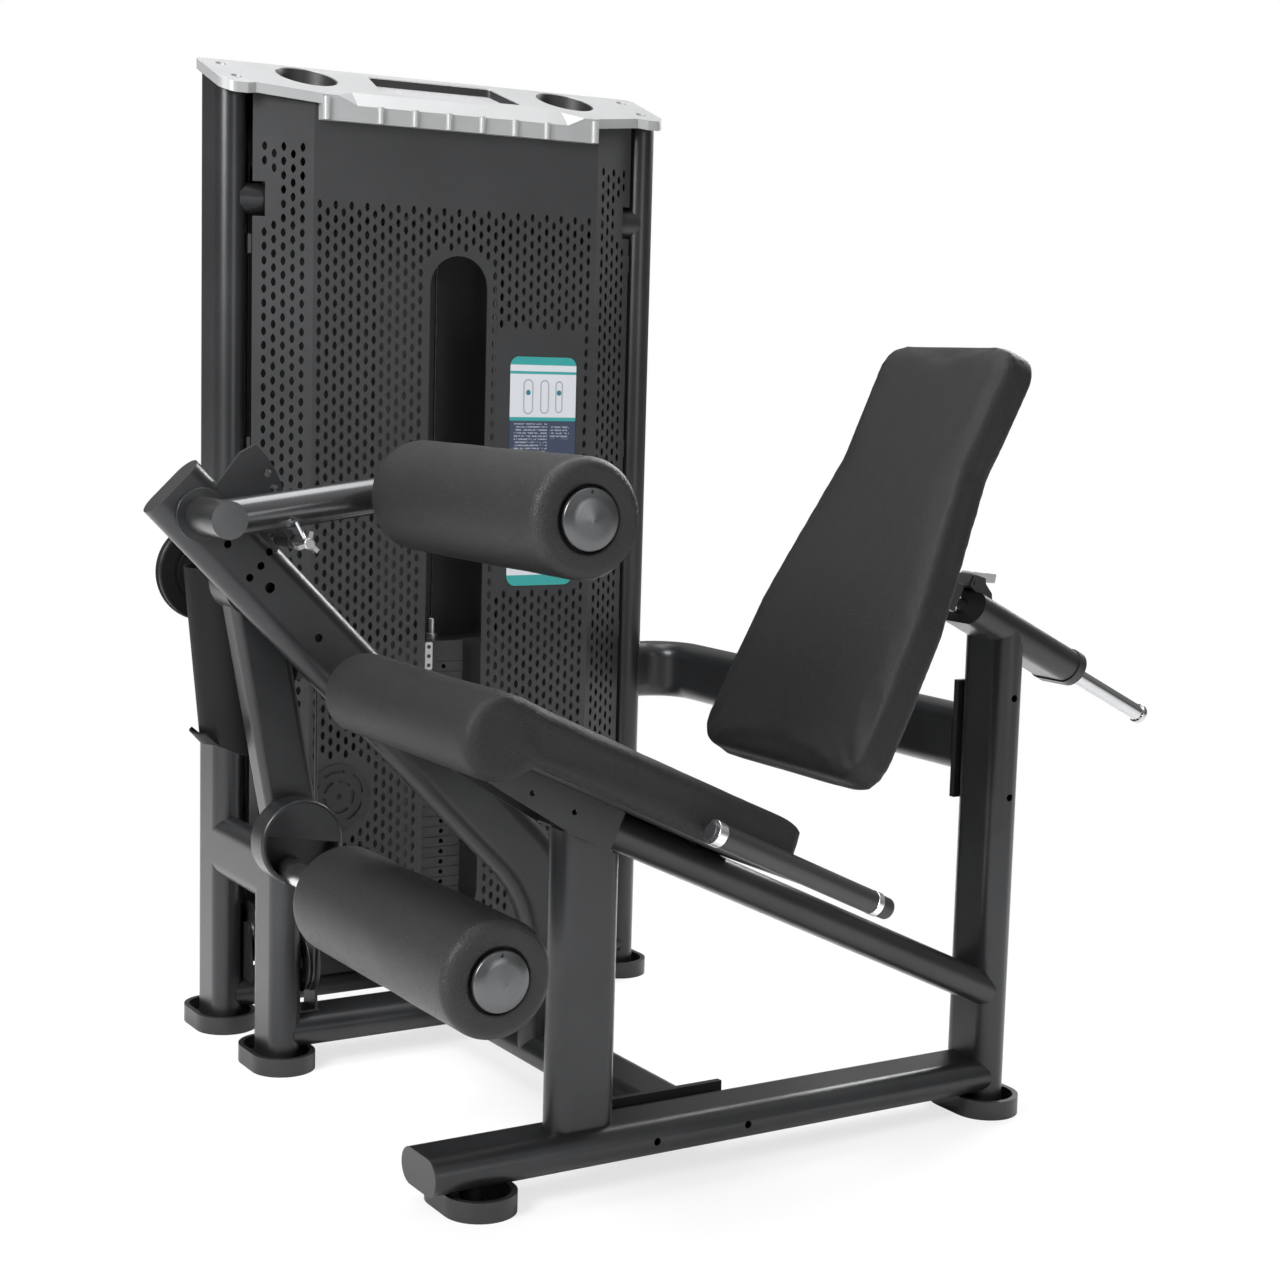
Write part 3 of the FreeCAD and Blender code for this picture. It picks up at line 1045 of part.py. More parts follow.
def tie(radius, span):
    c0 = V(RP, 60, tie_z)
    h = span / 2
    zv, xv = V(0, 0, 1), V(1, 0, 0)
    a1, a2 = c0 - zv * h + xv * radius, c0 + zv * h + xv * radius
    b1, b2 = c0 - zv * h - xv * radius, c0 + zv * h - xv * radius
    w = Part.Wire([
        Part.LineSegment(a1, a2).toShape(), Part.Arc(a2, c0 + zv * (h + radius), b2).toShape(),
        Part.LineSegment(b2, b1).toShape(), Part.Arc(b1, c0 - zv * (h + radius), a1).toShape()])
    k = tie_r * (1 - math.cos(math.pi / 4))
    path = Part.Wire([
        Part.LineSegment(c0, V(RP, ty - tie_r, tie_z)).toShape(),
        Part.Arc(V(RP, ty - tie_r, tie_z), V(RP - k, ty - k, tie_z), V(RP - tie_r, ty, tie_z)).toShape(),
        Part.LineSegment(V(RP - tie_r, ty, tie_z), V(TR + 10, ty, tie_z)).toShape()])
    return path.makePipeShell([w], True, False)


tie_feat = doc.addObject("Part::Feature", "tie_tube")
tie_feat.Shape = tie(25, 50).cut(tie(22, 50))
member("tie_beam", "upper_tie_beam", cut("upper_tie_beam", tie_feat, [env_right]))
tie_plate = box("tie_plate", 46, 10, 178, Placement(V(RP - 23, 50, 468), Rotation()))
member("tie_beam", "tie_flange", cut("tie_flange", tie_plate, [cyl("tie_hole_%d" % i, 5, 20, (RP, 45, z), (0, 1, 0)) for i, z in enumerate((483, 631))]))


def bolt(label, x, z, y_face, inner, direction=-1):
    """Hex-headed bolt along -Y from a face, with its nut inside the tube."""
    hexp = [polar(0, 0, 9.8, 60 * k) for k in range(6)]
    hd = pad(label + "_head", rounded(hexp), 7, Placement(V(x, y_face + 7, z), Rotation(V(1, 0, 0), 90)))
    sh = cyl(label + "_shank", 5, y_face - inner + 12, (x, inner - 12, z), (0, 1, 0))
    nt = pad(label + "_nut", rounded(hexp), 8, Placement(V(x, inner, z), Rotation(V(1, 0, 0), 90)))
    return fuse(label, [hd, sh, nt])


bolts = [bolt("cross_bolt_%d" % i, x, BX, 60, 44.4) for i, x in enumerate(bolt_x)]
member("fasteners", "cross_beam_bolts", group("cross_beam_bolts", bolts))
tbolts = []
for i, z in enumerate((483, 631)):
    tbolts.append(bolt("tie_bolt_%d" % i, RP, z, 60, 44.4))
member("fasteners", "tie_bolts", group("tie_bolts", tbolts))

# ---------------------------------------------------------------- seat
board = pad("seat_board", rounded([(-212, 26.6), (190, 26.6), (190, 38.6, 2), (-212, 38.6, 2)]), 390, seat_place(195))
keep("seat_board", board)
RR = P["roll_radius"]
cxr, cyr = -270.0, P["seat_top"] - RR
h27 = math.sqrt(RR ** 2 - (cyr - 27) ** 2)
seat_geo = [
    Part.LineSegment(V(cxr, P["seat_top"], 0), V(188, P["seat_top"], 0)),
    Part.Arc(V(188, P["seat_top"], 0), V(188 + 12 * math.sin(math.pi / 4), P["seat_top"] - 12 + 12 * math.cos(math.pi / 4), 0), V(200, P["seat_top"] - 12, 0)),
    Part.LineSegment(V(200, P["seat_top"] - 12, 0), V(200, 27, 0)),
    Part.LineSegment(V(200, 27, 0), V(cxr + h27, 27, 0)),
    Part.Arc(V(cxr + h27, 27, 0), V(cxr - RR * math.cos(0.6), cyr - RR * math.sin(0.6), 0), V(cxr, P["seat_top"], 0)),
]
pad_raw = pad("seat_pad_raw", seat_geo, D("seat_width"), seat_place(P["seat_width"] / 2))
keep("seat_pad", cut("seat_pad", pad_raw, [board]))

# Side handles: frame, rubber grips, aluminium collars and end caps.
hn = 40.0
side = [cyl("handle_rod_%d" % i, 12, 302, tuple(sn(38, hn, y)), tuple(ES)) for i, y in enumerate((-235, 235))]
cross_h = cyl("handle_cross", 13, 470, tuple(sn(214.5, 38, -235)), (0, 1, 0))
frame_h = fuse("handle_frame_raw", side + [cross_h])
keep("handle_frame", cut("handle_frame", frame_h, [env_slope]))


def ring(label, s0, s1, r1, y, fil=1.0, r0=12):
    b = revolve(label, [(r0, s0), (r1, s0, fil), (r1, s1, fil), (r0, s1)], Placement(sn(0, hn, y), Rotation(V(0, 1, 0), V(ES.x, ES.y, ES.z))))
    return b


grips, collars, ends = [], [], []
for i, y in enumerate((-235, 235)):
    g = ring("grip_raw_%d" % i, 52, 318, P["grip_radius"], y, 2)
    grips.append(cut("grip_%d" % i, g, [cross_h]))
    collars.append(ring("collar_front_%d" % i, 38, 52, 16.6, y))
    collars.append(ring("collar_rear_%d" % i, 318, 328, 16.6, y))
    cap_f = revolve("handle_end_front_%d" % i, [(0, 34), (13, 34, 3), (13, 38), (0, 38)], Placement(sn(0, hn, y), Rotation(V(0, 1, 0), V(ES.x, ES.y, ES.z))))
    cap_r = revolve("handle_end_rear_%d" % i, [(12, 328), (15, 328), (14.5, 350, 6), (0, 352), (0, 340), (12, 340)], Placement(sn(0, hn, y), Rotation(V(0, 1, 0), V(ES.x, ES.y, ES.z))))
    ends += [cap_f, cap_r]
keep("hand_grips", group("hand_grips", grips))
keep("handle_collars", group("handle_collars", collars))
keep("handle_end_caps", group("handle_end_caps", ends))

# ---------------------------------------------------------------- backrest and its slide
housing_raw = oval("housing_raw", tuple(qk(-14, 0)), tuple(qk(196, 0)), (0, 1, 0), length=210)
lock_hole = cyl("lock_hole_wall", 9, 40, tuple(qk(5, 5)), tuple(DK))
keep("slide_housing", cut("slide_housing", housing_raw, [lock_hole]))
bushes = []
for i, (q0, q1) in enumerate(((-14, 18), (168, 196))):
    b_ = new_body("bush_%d" % i, frame_place(tuple(qk(q0, 0)), (0, 1, 0), tuple(DQ)))
    sk_ = sketch_on(b_, rounded([(-46.97, -21.97, 21.96), (46.97, -21.97, 21.96), (46.97, 21.97, 21.96), (-46.97, 21.97, 21.96)]) + circle(0, 0, P["rod_radius"] + PLAY))
    p_ = b_.newObject("PartDesign::Pad", b_.Name + "_pad")
    p_.Profile = sk_
    p_.Length = q1 - q0
    b_.Tip = p_
    bushes.append(b_)
bushes[0] = cut("bush_front_drilled", bushes[0], [cyl("lock_hole_bush", 9, 40, tuple(qk(5, 5)), tuple(DK))])
member("slide_bushes", "slide_bush_pair", group("slide_bush_pair", bushes))
plug_b = new_body("slide_end_plug", frame_place(tuple(qk(196, 0)), (0, 1, 0), tuple(DQ)))
sk_ = sketch_on(plug_b, rounded([(-52, -27, 26.99), (52, -27, 26.99), (52, 27, 26.99), (-52, 27, 26.99)]) + circle(0, 0, P["rod_radius"] + 1))
pp = plug_b.newObject("PartDesign::Pad", "plug_pad")
pp.Profile = sk_
pp.Length = 14
plug_b.Tip = pp
member("slide_bushes", "slide_end_plug", plug_b)

rod = cyl("slide_rod_raw", D("rod_radius"), 450, tuple(qk(-60, 0)), tuple(DQ))
key = box("rod_key", 420, 7, 8, Placement(qk(-30, 8.5, -3.5), Rotation(V(0, 1, 0), P["slide_angle"])))
stops = [cyl("rod_stop_%d" % i, 3.2, 12, tuple(qk(5 + 20 * i, -2)), tuple(DK)) for i in range(9)]
member("slide_rod", "slide_rod_bar", cut("slide_rod_bar", rod, [key] + stops))
member("slide_rod", "slide_rod_cap", revolve("slide_rod_cap", [(0, 390), (15, 390, 1), (15, 400, 4), (0, 400)], Placement(Q0, Rotation(V(0, 1, 0), V(DQ.x, DQ.y, DQ.z)))))

# Backrest carrier: plate on the board, box arm to the slide rod.
plate_c = pad("carrier_plate", rounded([(-60, 180, 10), (60, 180, 10), (60, 400, 10), (-60, 400, 10)]), 6, back_place(P["pad_thickness"] + 2))
arm_c = box("carrier_arm", 144, 56, 40, Placement(qk(-190, -20, -28), Rotation(V(0, 1, 0), P["slide_angle"])))
arm_trim = cut("carrier_arm_trim", arm_c, [box("carrier_clear", 60, 700, 900, Placement(P0 + BW * (P["pad_thickness"] + 2 - 60) + V(0, -350, 0), Rotation(V(0, 1, 0), P["back_angle"])))])
keep("backrest_carrier", cut("backrest_carrier", fuse("carrier_full", [plate_c, arm_trim]), [cyl("carrier_socket", D("rod_radius"), 80, tuple(qk(-60, 0)), tuple(DQ))]))

hw = [(-193, 0, 45), (-193, 130, 60), (-186, 245, 150), (-143, 468, 60), (-150, P["pad_length"], 42), (150, P["pad_length"], 42), (143, 468, 60), (186, 245, 150), (193, 130, 60), (193, 0, 45)]
back_raw = pad("back_pad_raw", rounded(hw), D("pad_thickness"), back_place(0))
hb = [(-170, 22, 40), (-170, 240, 100), (-125, 465, 50), (-128, P["pad_length"] - 20, 30), (128, P["pad_length"] - 20, 30), (125, 465, 50), (170, 240, 100), (170, 22, 40)]
back_board = pad("backrest_board", rounded(hb), 14, back_place(P["pad_thickness"] - 12))
keep("backrest_board", back_board)
keep("backrest_pad", cut("backrest_pad", back_raw, [back_board]))

# Release: two ears on the housing, a lever plate and a lock plunger that rides in the rod's keyway.
ears = []
ear_pts = [(-14, 25), (20, 25), (14, 35, 4), (-4, 43, 6), (-8, 50, 3), (-30, 46, 4), (-30, 28, 4), (-16, 25, 2)]
for i, y in enumerate((-15, 19)):
    ears.append(pad("ear_%d" % i, rounded(ear_pts), 4, slide_place(y)))
ear_pin = cyl("ear_pin", 3, 40, tuple(qk(-22, 36, -20.5)), (0, 1, 0))
member("release_bracket", "release_ears", fuse("release_ears", ears + [ear_pin]))
lev_geo = rounded([(-29, 29, 6), (-15, 29, 6), (-10, 39, 4), (0, 46, 6), (15, 52, 2), (12, 65, 2), (-29, 50, 6)]) + circle(-22, 36, 3.05)
rl = pad("release_lever", lev_geo, 28, slide_place(14))
keep("release_lever", rl)
lock_guide = revolve("lock_guide", [(5.05, 22), (9, 22), (9, 30), (12, 30), (12, 36, 1), (5.05, 36)], Placement(qk(5, 0), Rotation(V(0, 1, 0), V(DK.x, DK.y, DK.z))))
member("release_bracket", "lock_guide", lock_guide)
lock_pin = revolve("lock_pin", [(0, 10.2), (2.4, 10.2), (3, 11), (3, 14), (5, 16), (5, 41, 1), (0, 41)], Placement(qk(5, 0), Rotation(V(0, 1, 0), V(DK.x, DK.y, DK.z))))
keep("lock_pin", lock_pin)

# Cover screws.
cs = []
for i, (x, y) in enumerate(screws_at):
    z1 = cover_under(y)
    cs.append(cyl("cover_screw_%d" % i, 9, 5, (x, y, z1 + 4), (0, 0, 1)))
member("fasteners", "cover_screws", group("cover_screws", cs))

# ---------------------------------------------------------------- nodes made of several solids
for node, members in GROUPS.items():
    g = doc.addObject("Part::Compound", node + "_node")
    g.Links = members
    keep(node, g)

# ---------------------------------------------------------------- recompute, check, write
doc.recompute()
bad = []
for o in doc.Objects:
    if "Invalid" in o.State or "Error" in o.State:
        bad.append("%s %s" % (o.Name, o.State))
for name, obj in NODES.items():
    shp = getattr(obj, "Shape", None)
    if shp is None or shp.isNull() or not shp.isValid() or not shp.Solids:
        bad.append("%s has no valid solid" % name)
if bad:
    raise RuntimeError("; ".join(bad))
os.makedirs("parts", exist_ok=True)
for name, obj in NODES.items():
    obj.Shape.exportStep("parts/%s.step" % name)
print("nodes", len(NODES))
for name, obj in NODES.items():
    b = obj.Shape.BoundBox
    print("%-28s solids %2d  x %7.1f %7.1f  y %7.1f %7.1f  z %7.1f %7.1f  vol %.0f" % (
        name, len(obj.Shape.Solids), b.XMin, b.XMax, b.YMin, b.YMax, b.ZMin, b.ZMax, obj.Shape.Volume))
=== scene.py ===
# A seated leg machine with a weight stack, Z up. The sitter faces -X: the backrest is towards +X.
# The rollers and the seat lie across Y, centred on Y = 0. The stack stands to the +Y side, behind
# a perforated shroud whose outer face looks towards -Y. Shapes are in millimetres, scaled by MM
# when they become vertices; shader values are in metres.
import bpy, bmesh, math, json
import numpy as np
from mathutils import Vector, Matrix
from mathutils.geometry import delaunay_2d_cdt


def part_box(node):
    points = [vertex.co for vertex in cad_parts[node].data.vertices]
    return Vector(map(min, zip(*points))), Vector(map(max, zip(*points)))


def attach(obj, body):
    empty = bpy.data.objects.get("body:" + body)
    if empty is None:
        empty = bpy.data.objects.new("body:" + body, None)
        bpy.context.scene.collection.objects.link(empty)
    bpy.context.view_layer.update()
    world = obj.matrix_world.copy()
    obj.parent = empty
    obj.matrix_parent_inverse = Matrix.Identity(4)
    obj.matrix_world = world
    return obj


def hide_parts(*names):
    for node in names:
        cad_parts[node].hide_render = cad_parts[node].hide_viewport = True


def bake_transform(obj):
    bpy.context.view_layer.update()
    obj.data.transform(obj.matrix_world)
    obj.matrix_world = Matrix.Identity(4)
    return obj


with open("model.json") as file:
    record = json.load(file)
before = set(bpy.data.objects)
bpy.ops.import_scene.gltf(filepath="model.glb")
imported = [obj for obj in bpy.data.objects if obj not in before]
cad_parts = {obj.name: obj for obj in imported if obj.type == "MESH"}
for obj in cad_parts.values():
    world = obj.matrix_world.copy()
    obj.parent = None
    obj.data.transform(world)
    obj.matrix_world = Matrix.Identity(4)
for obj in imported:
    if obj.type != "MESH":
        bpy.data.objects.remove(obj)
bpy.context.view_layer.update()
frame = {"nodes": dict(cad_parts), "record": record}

SCENE = bpy.context.scene
MM = 0.001

STACK_X = 378.0                  # middle of the shroud's slot, and the hanging cable


# ------------------------------------------------------------------ shader nodes
class Nodes:
    """Adds shader nodes to the tree of a material or a world."""

    def __init__(self, owner):
        owner.use_nodes = True
        self.tree = owner.node_tree
        self.tree.nodes.clear()

    def new(self, kind):
        return self.tree.nodes.new("ShaderNode" + kind)

    def feed(self, socket, value):
        """Set a number or an RGB colour on the socket, or link a node output to it."""
        if isinstance(value, (int, float)):
            socket.default_value = value
        elif isinstance(value, tuple):
            socket.default_value = value + (1,)
        else:
            self.tree.links.new(value, socket)

    def math(self, operation, first, second=None):
        node = self.new("Math")
        node.operation = operation
        self.feed(node.inputs[0], first)
        if second is not None:
            self.feed(node.inputs[1], second)
        return node.outputs[0]

    def add(self, first, second):
        return self.math("ADD", first, second)

    def sub(self, first, second):
        return self.math("SUBTRACT", first, second)

    def mul(self, first, second):
        return self.math("MULTIPLY", first, second)

    def above(self, value, limit):
        return self.math("GREATER_THAN", value, limit)

    def below(self, value, limit):
        return self.math("LESS_THAN", value, limit)

    def between(self, value, low, high):
        return self.mul(self.above(value, low), self.below(value, high))

    def scaled(self, value, gain, base):
        return self.add(self.mul(value, gain), base)

    def weighted(self, first, first_gain, second, second_gain):
        return self.add(self.mul(first, first_gain), self.mul(second, second_gain))

    def square_sum(self, first, second):
        return self.add(self.mul(first, first), self.mul(second, second))

    def ramp(self, factor, stops, interpolation="LINEAR"):
        """Stops are (position, grey or RGB)."""
        node = self.new("ValToRGB")
        node.color_ramp.interpolation = interpolation
        elements = node.color_ramp.elements
        while len(elements) > 1:
            elements.remove(elements[-1])
        for i, (position, colour) in enumerate(stops):
            element = elements.new(position) if i else elements[0]
            element.position = position
            rgb = colour if isinstance(colour, tuple) else (colour,) * 3
            element.color = rgb + (1,)
        self.feed(node.inputs[0], factor)
        return node.outputs[0]

    def mix(self, factor, first, second):
        node = self.new("Mix")
        node.data_type = "RGBA"
        for i, value in ((0, factor), (6, first), (7, second)):
            self.feed(node.inputs[i], value)
        return node.outputs[2]

    def mix_shader(self, factor, first, second):
        node = self.new("MixShader")
        for i, value in enumerate((factor, first, second)):
            self.feed(node.inputs[i], value)
        return node.outputs[0]

    def xyz(self, vector):
        node = self.new("SeparateXYZ")
        self.feed(node.inputs[0], vector)
        return node.outputs


class Surface(Nodes):
    """A new material: Principled shader, object coordinates, and bumps that chain."""

    def __init__(self, name):
        self.material = bpy.data.materials.new(name)
        super().__init__(self.material)
        self.output = self.new("OutputMaterial")
        self.principled = self.new("BsdfPrincipled")
        self.feed(self.output.inputs[0], self.principled.outputs[0])
        self.coords = self.new("TexCoord").outputs["Object"]
        self.normal = None

    def set(self, name, value):
        self.feed(self.principled.inputs[name], value)

    def noise(self, scale, detail=3, roughness=0.55, vector=None, output="Fac"):
        node = self.new("TexNoise")
        node.inputs["Scale"].default_value = scale
        node.inputs["Detail"].default_value = detail
        node.inputs["Roughness"].default_value = roughness
        self.feed(node.inputs["Vector"], vector or self.coords)
        return node.outputs[output]

    def bump(self, height, strength, distance):
        node = self.new("Bump")
        node.inputs["Strength"].default_value = strength
        node.inputs["Distance"].default_value = distance
        self.feed(node.inputs["Height"], height)
        if self.normal is not None:
            self.feed(node.inputs["Normal"], self.normal)
        self.normal = node.outputs[0]
        self.set("Normal", self.normal)


# ------------------------------------------------------------------ materials
def powder(name, dark, light, metallic, rough, coat=0.0, peel=0.35, specular=0.5):
    """Powder coat: fine flake in the colour, orange peel in the surface, faint smudges."""
    s = Surface(name)
    fleck = s.noise(scale=2600, detail=2, roughness=0.6)
    cloud = s.noise(scale=5.5, detail=4, roughness=0.6)
    fine = s.noise(scale=420, roughness=0.6)
    s.set("Base Color", s.ramp(s.weighted(fleck, 0.6, cloud, 0.4), [(0.36, dark), (0.62, light)]))
    low, high = rough
    spread = s.weighted(cloud, (high - low) * 0.7, fine, (high - low) * 0.3)
    s.set("Roughness", s.add(spread, low))
    s.set("Metallic", metallic)
    s.set("Coat Weight", coat)
    s.set("Coat Roughness", 0.3)
    s.set("Specular IOR Level", specular)
    s.bump(fine, strength=peel, distance=0.00012)
    s.bump(fleck, strength=0.25, distance=0.00003)
    return s.material


def metal(name, colour, rough, brushed, axis=1):
    """Metal with a brushed grain drawn out along one axis (0, 1, 2 for X, Y, Z)."""
    s = Surface(name)
    mapping = s.new("Mapping")
    scale = [900.0, 900.0, 900.0]
    scale[axis] = 12.0
    mapping.inputs["Scale"].default_value = scale
    s.feed(mapping.inputs["Vector"], s.coords)
    grain = s.noise(scale=1.0, roughness=0.6, vector=mapping.outputs[0])
    cloud = s.noise(scale=9, roughness=0.6)
    s.set("Base Color", s.mix(cloud, tuple(c * 0.86 for c in colour), colour))
    s.set("Roughness", s.scaled(grain, gain=0.12 + brushed * 0.15, base=rough))
    s.set("Metallic", 1.0)
    s.bump(grain, strength=0.08 + brushed * 0.25, distance=0.00005)
    return s.material


def plastic(name, dark, light, rough, specular=0.5, texture=0.4, scale=900):
    s = Surface(name)
    grain = s.noise(scale=scale, roughness=0.6)
    cloud = s.noise(scale=7, roughness=0.6)
    s.set("Base Color", s.mix(cloud, dark, light))
    s.set("Roughness", s.scaled(cloud, gain=0.10, base=rough - 0.05))
    s.set("Specular IOR Level", specular)
    s.bump(grain, strength=texture, distance=0.00008)
    return s.material


def leather(name, dark, light, rough, grain, depth, specular, glint):
    """Grained vinyl: pebble cells with creases between, painted darker as shade; a finer grain,
    soft colour drift; pale spots painted in as glints.
    """
    s = Surface(name)
    warp = s.noise(scale=grain * 0.35, detail=2, roughness=0.5, output="Color")
    warped = s.new("VectorMath")
    warped.operation = "MULTIPLY_ADD"
    warped.inputs[1].default_value = (0.0022, 0.0022, 0.0022)
    s.feed(warped.inputs[0], warp)
    s.feed(warped.inputs[2], s.coords)
    cells = s.new("TexVoronoi")
    cells.feature = "DISTANCE_TO_EDGE"
    cells.inputs["Scale"].default_value = grain
    s.feed(cells.inputs["Vector"], warped.outputs[0])
    pebble = s.ramp(cells.outputs["Distance"], [(0.0, 0.0), (0.16, 0.75), (0.5, 1.0)])
    fine = s.noise(scale=grain * 3.2, detail=4, roughness=0.65)
    cloud = s.noise(scale=6, detail=4, roughness=0.6)
    drift = s.mix(cloud, dark, light)
    # the creases between the pebble cells are painted darker: painted shade in the grain
    colour = s.mix(s.mul(pebble, 1.0), tuple(c * 0.55 for c in dark), drift)
    # pale spots in the colour are painted highlights, tiny glints on the grain
    glint_spots = s.ramp(s.noise(scale=grain * 1.7, detail=2, roughness=0.5), [(0.56, 0.0), (0.70, 1.0)])
    glint_colour = tuple(min(1, c * 3.2 + 0.02) for c in light)
    s.set("Base Color", s.mix(s.mul(glint_spots, glint), colour, glint_colour))
    crease = s.mul(s.sub(1.0, pebble), 0.18)
    s.set("Roughness", s.add(crease, s.scaled(cloud, gain=0.08, base=rough - 0.04)))
    s.set("Specular IOR Level", specular)
    s.bump(pebble, strength=0.55, distance=depth)
    s.bump(fine, strength=0.35, distance=depth * 0.5)
    return s.material


def chrome(name):
    s = Surface(name)
    cloud = s.noise(scale=30, detail=4, roughness=0.6)
    s.set("Base Color", s.mix(cloud, (0.44, 0.445, 0.455), (0.54, 0.545, 0.555)))
    s.set("Roughness", s.scaled(s.noise(scale=240, roughness=0.6), gain=0.06, base=0.05))
    s.set("Metallic", 1.0)
    return s.material


def placard(name):
    """Printed card: bands of colour, plain capsules, and rows of grey bars in place of text."""
    teal, white, navy = (0.03, 0.30, 0.29), (0.60, 0.62, 0.66), (0.035, 0.05, 0.09)
    foot, height = 722.0, 388.0
    # height in mm where a band starts, its colour
    bands = [(722, teal), (740, white), (800, navy), (806, white), (936, teal), (943, navy),
             (1002, teal), (1007, white), (1080, teal), (1085, white), (1096, teal)]
    text_pitch = 5.2                       # mm between rows of bars
    # place as a share of the card's width, outline radius, whether it holds a spot
    capsules = ((0.27, 0.0085, True), (0.52, 0.0075, False), (0.74, 0.0060, True))
    capsule_z, capsule_straight, line_half = 1.043, 0.020, 0.0013   # line_half: half line width
    spot_z, spot_radius = 1.050, 0.0045

    s = Surface(name)
    x, _, z = s.xyz(s.coords)
    low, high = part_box("instruction_placard")
    up = s.math("DIVIDE", s.sub(z, low.z), high.z - low.z)
    colour = s.ramp(up, [((start - foot) / height, c) for start, c in bands], "CONSTANT")

    rows = s.above(s.math("FRACT", s.mul(z, 1000 / text_pitch)), 0.55)
    words = s.above(s.noise(scale=260, detail=1, roughness=0.5), 0.45)
    bars = s.mul(rows, words)
    first_column = s.between(x, low.x + 0.008, low.x + 0.072)
    second_column = s.mul(s.between(x, high.x - 0.05, high.x - 0.012), s.between(z, 0.972, 0.996))
    navy_rows = s.between(z, 0.948, 0.998)
    white_rows = s.between(z, 0.815, 0.925)
    navy_text = s.mul(s.mul(bars, navy_rows), s.math("MAXIMUM", first_column, second_column))
    white_text = s.mul(s.mul(bars, white_rows), s.between(x, low.x + 0.010, high.x - 0.012))
    colour = s.mix(s.mul(navy_text, 0.65), colour, (0.45, 0.47, 0.52))
    colour = s.mix(s.mul(white_text, 0.55), colour, (0.20, 0.22, 0.26))

    for share, radius, has_spot in capsules:
        across = s.math("ABSOLUTE", s.sub(x, low.x + (high.x - low.x) * share))
        past_end = s.sub(s.math("ABSOLUTE", s.sub(z, capsule_z)), capsule_straight)
        past_end = s.math("MAXIMUM", past_end, 0.0)
        distance = s.math("SQRT", s.square_sum(across, past_end))
        outline = s.below(s.math("ABSOLUTE", s.sub(distance, radius)), line_half)
        colour = s.mix(s.mul(outline, 0.7), colour, (0.22, 0.24, 0.27))
        if has_spot:
            spot = s.square_sum(across, s.sub(z, spot_z))
            colour = s.mix(s.below(spot, spot_radius ** 2), colour, (0.02, 0.16, 0.20))
    s.set("Base Color", colour)
    s.set("Roughness", s.scaled(s.noise(scale=60), gain=0.1, base=0.3))
    s.bump(s.noise(scale=500, detail=2), strength=0.05, distance=0.00005)
    return s.material


def cup_and_tray():
    """Black moulded cups; the shallow tray has a pale speckled mat on its floor."""
    tray_x, tray_reach = 0.3775, 0.15
    s = Surface("cup_and_tray")
    x = s.xyz(s.coords)[0]
    normal_z = s.xyz(s.new("NewGeometry").outputs["Normal"])[2]
    near = s.below(s.math("ABSOLUTE", s.sub(x, tray_x)), tray_reach)
    level = s.above(normal_z, 0.7)
    speckle = s.ramp(s.noise(scale=900, detail=2, roughness=0.6),
                     [(0.42, (0.16, 0.16, 0.165)), (0.55, (0.46, 0.46, 0.47)),
                      (0.7, (0.62, 0.62, 0.63))])
    black = s.mix(s.noise(scale=8), (0.012, 0.012, 0.013), (0.024, 0.024, 0.026))
    s.set("Base Color", s.mix(s.mul(near, level), black, speckle))
    s.set("Roughness", s.scaled(s.noise(scale=60), gain=0.15, base=0.42))
    s.bump(s.noise(scale=900, detail=2), strength=0.4, distance=0.0001)
    return s.material


def bolts():
    """Plated bolts; the screws in the top cover are blackened."""
    cover_z = 1.4
    s = Surface("bolts")
    high = s.above(s.xyz(s.coords)[2], cover_z)
    cloud = s.noise(scale=14)
    plated = s.mix(cloud, (0.30, 0.30, 0.31), (0.44, 0.44, 0.45))
    blackened = s.mix(cloud, (0.008, 0.008, 0.008), (0.016, 0.016, 0.017))
    s.set("Base Color", s.mix(high, plated, blackened))
    s.set("Roughness", s.add(s.mul(s.noise(scale=300), 0.15), s.scaled(high, gain=0.4, base=0.28)))
    s.set("Metallic", s.mul(s.sub(1.0, high), 0.9))
    s.set("Specular IOR Level", s.sub(0.5, s.mul(high, 0.45)))
    s.bump(s.noise(scale=700, detail=2), strength=0.2, distance=0.00005)
    return s.material


def label_dots():
    """White strip with a column of black dots."""
    dot_x, foot, pitch, half_pitch, dot_radius = 0.349, 0.580, 0.01567, 0.00783, 0.0034
    s = Surface("label_dots")
    x, _, z = s.xyz(s.coords)
    across = s.sub(x, dot_x)
    turn = s.math("FRACT", s.math("DIVIDE", s.sub(z, foot), pitch))
    along = s.sub(s.mul(turn, pitch), half_pitch)
    dot = s.below(s.square_sum(across, along), dot_radius ** 2)
    white = s.mix(s.noise(scale=40), (0.62, 0.62, 0.62), (0.74, 0.74, 0.74))
    s.set("Base Color", s.mix(dot, white, (0.03, 0.03, 0.03)))
    s.set("Roughness", s.scaled(s.noise(scale=300, detail=2), gain=0.2, base=0.35))
    return s.material


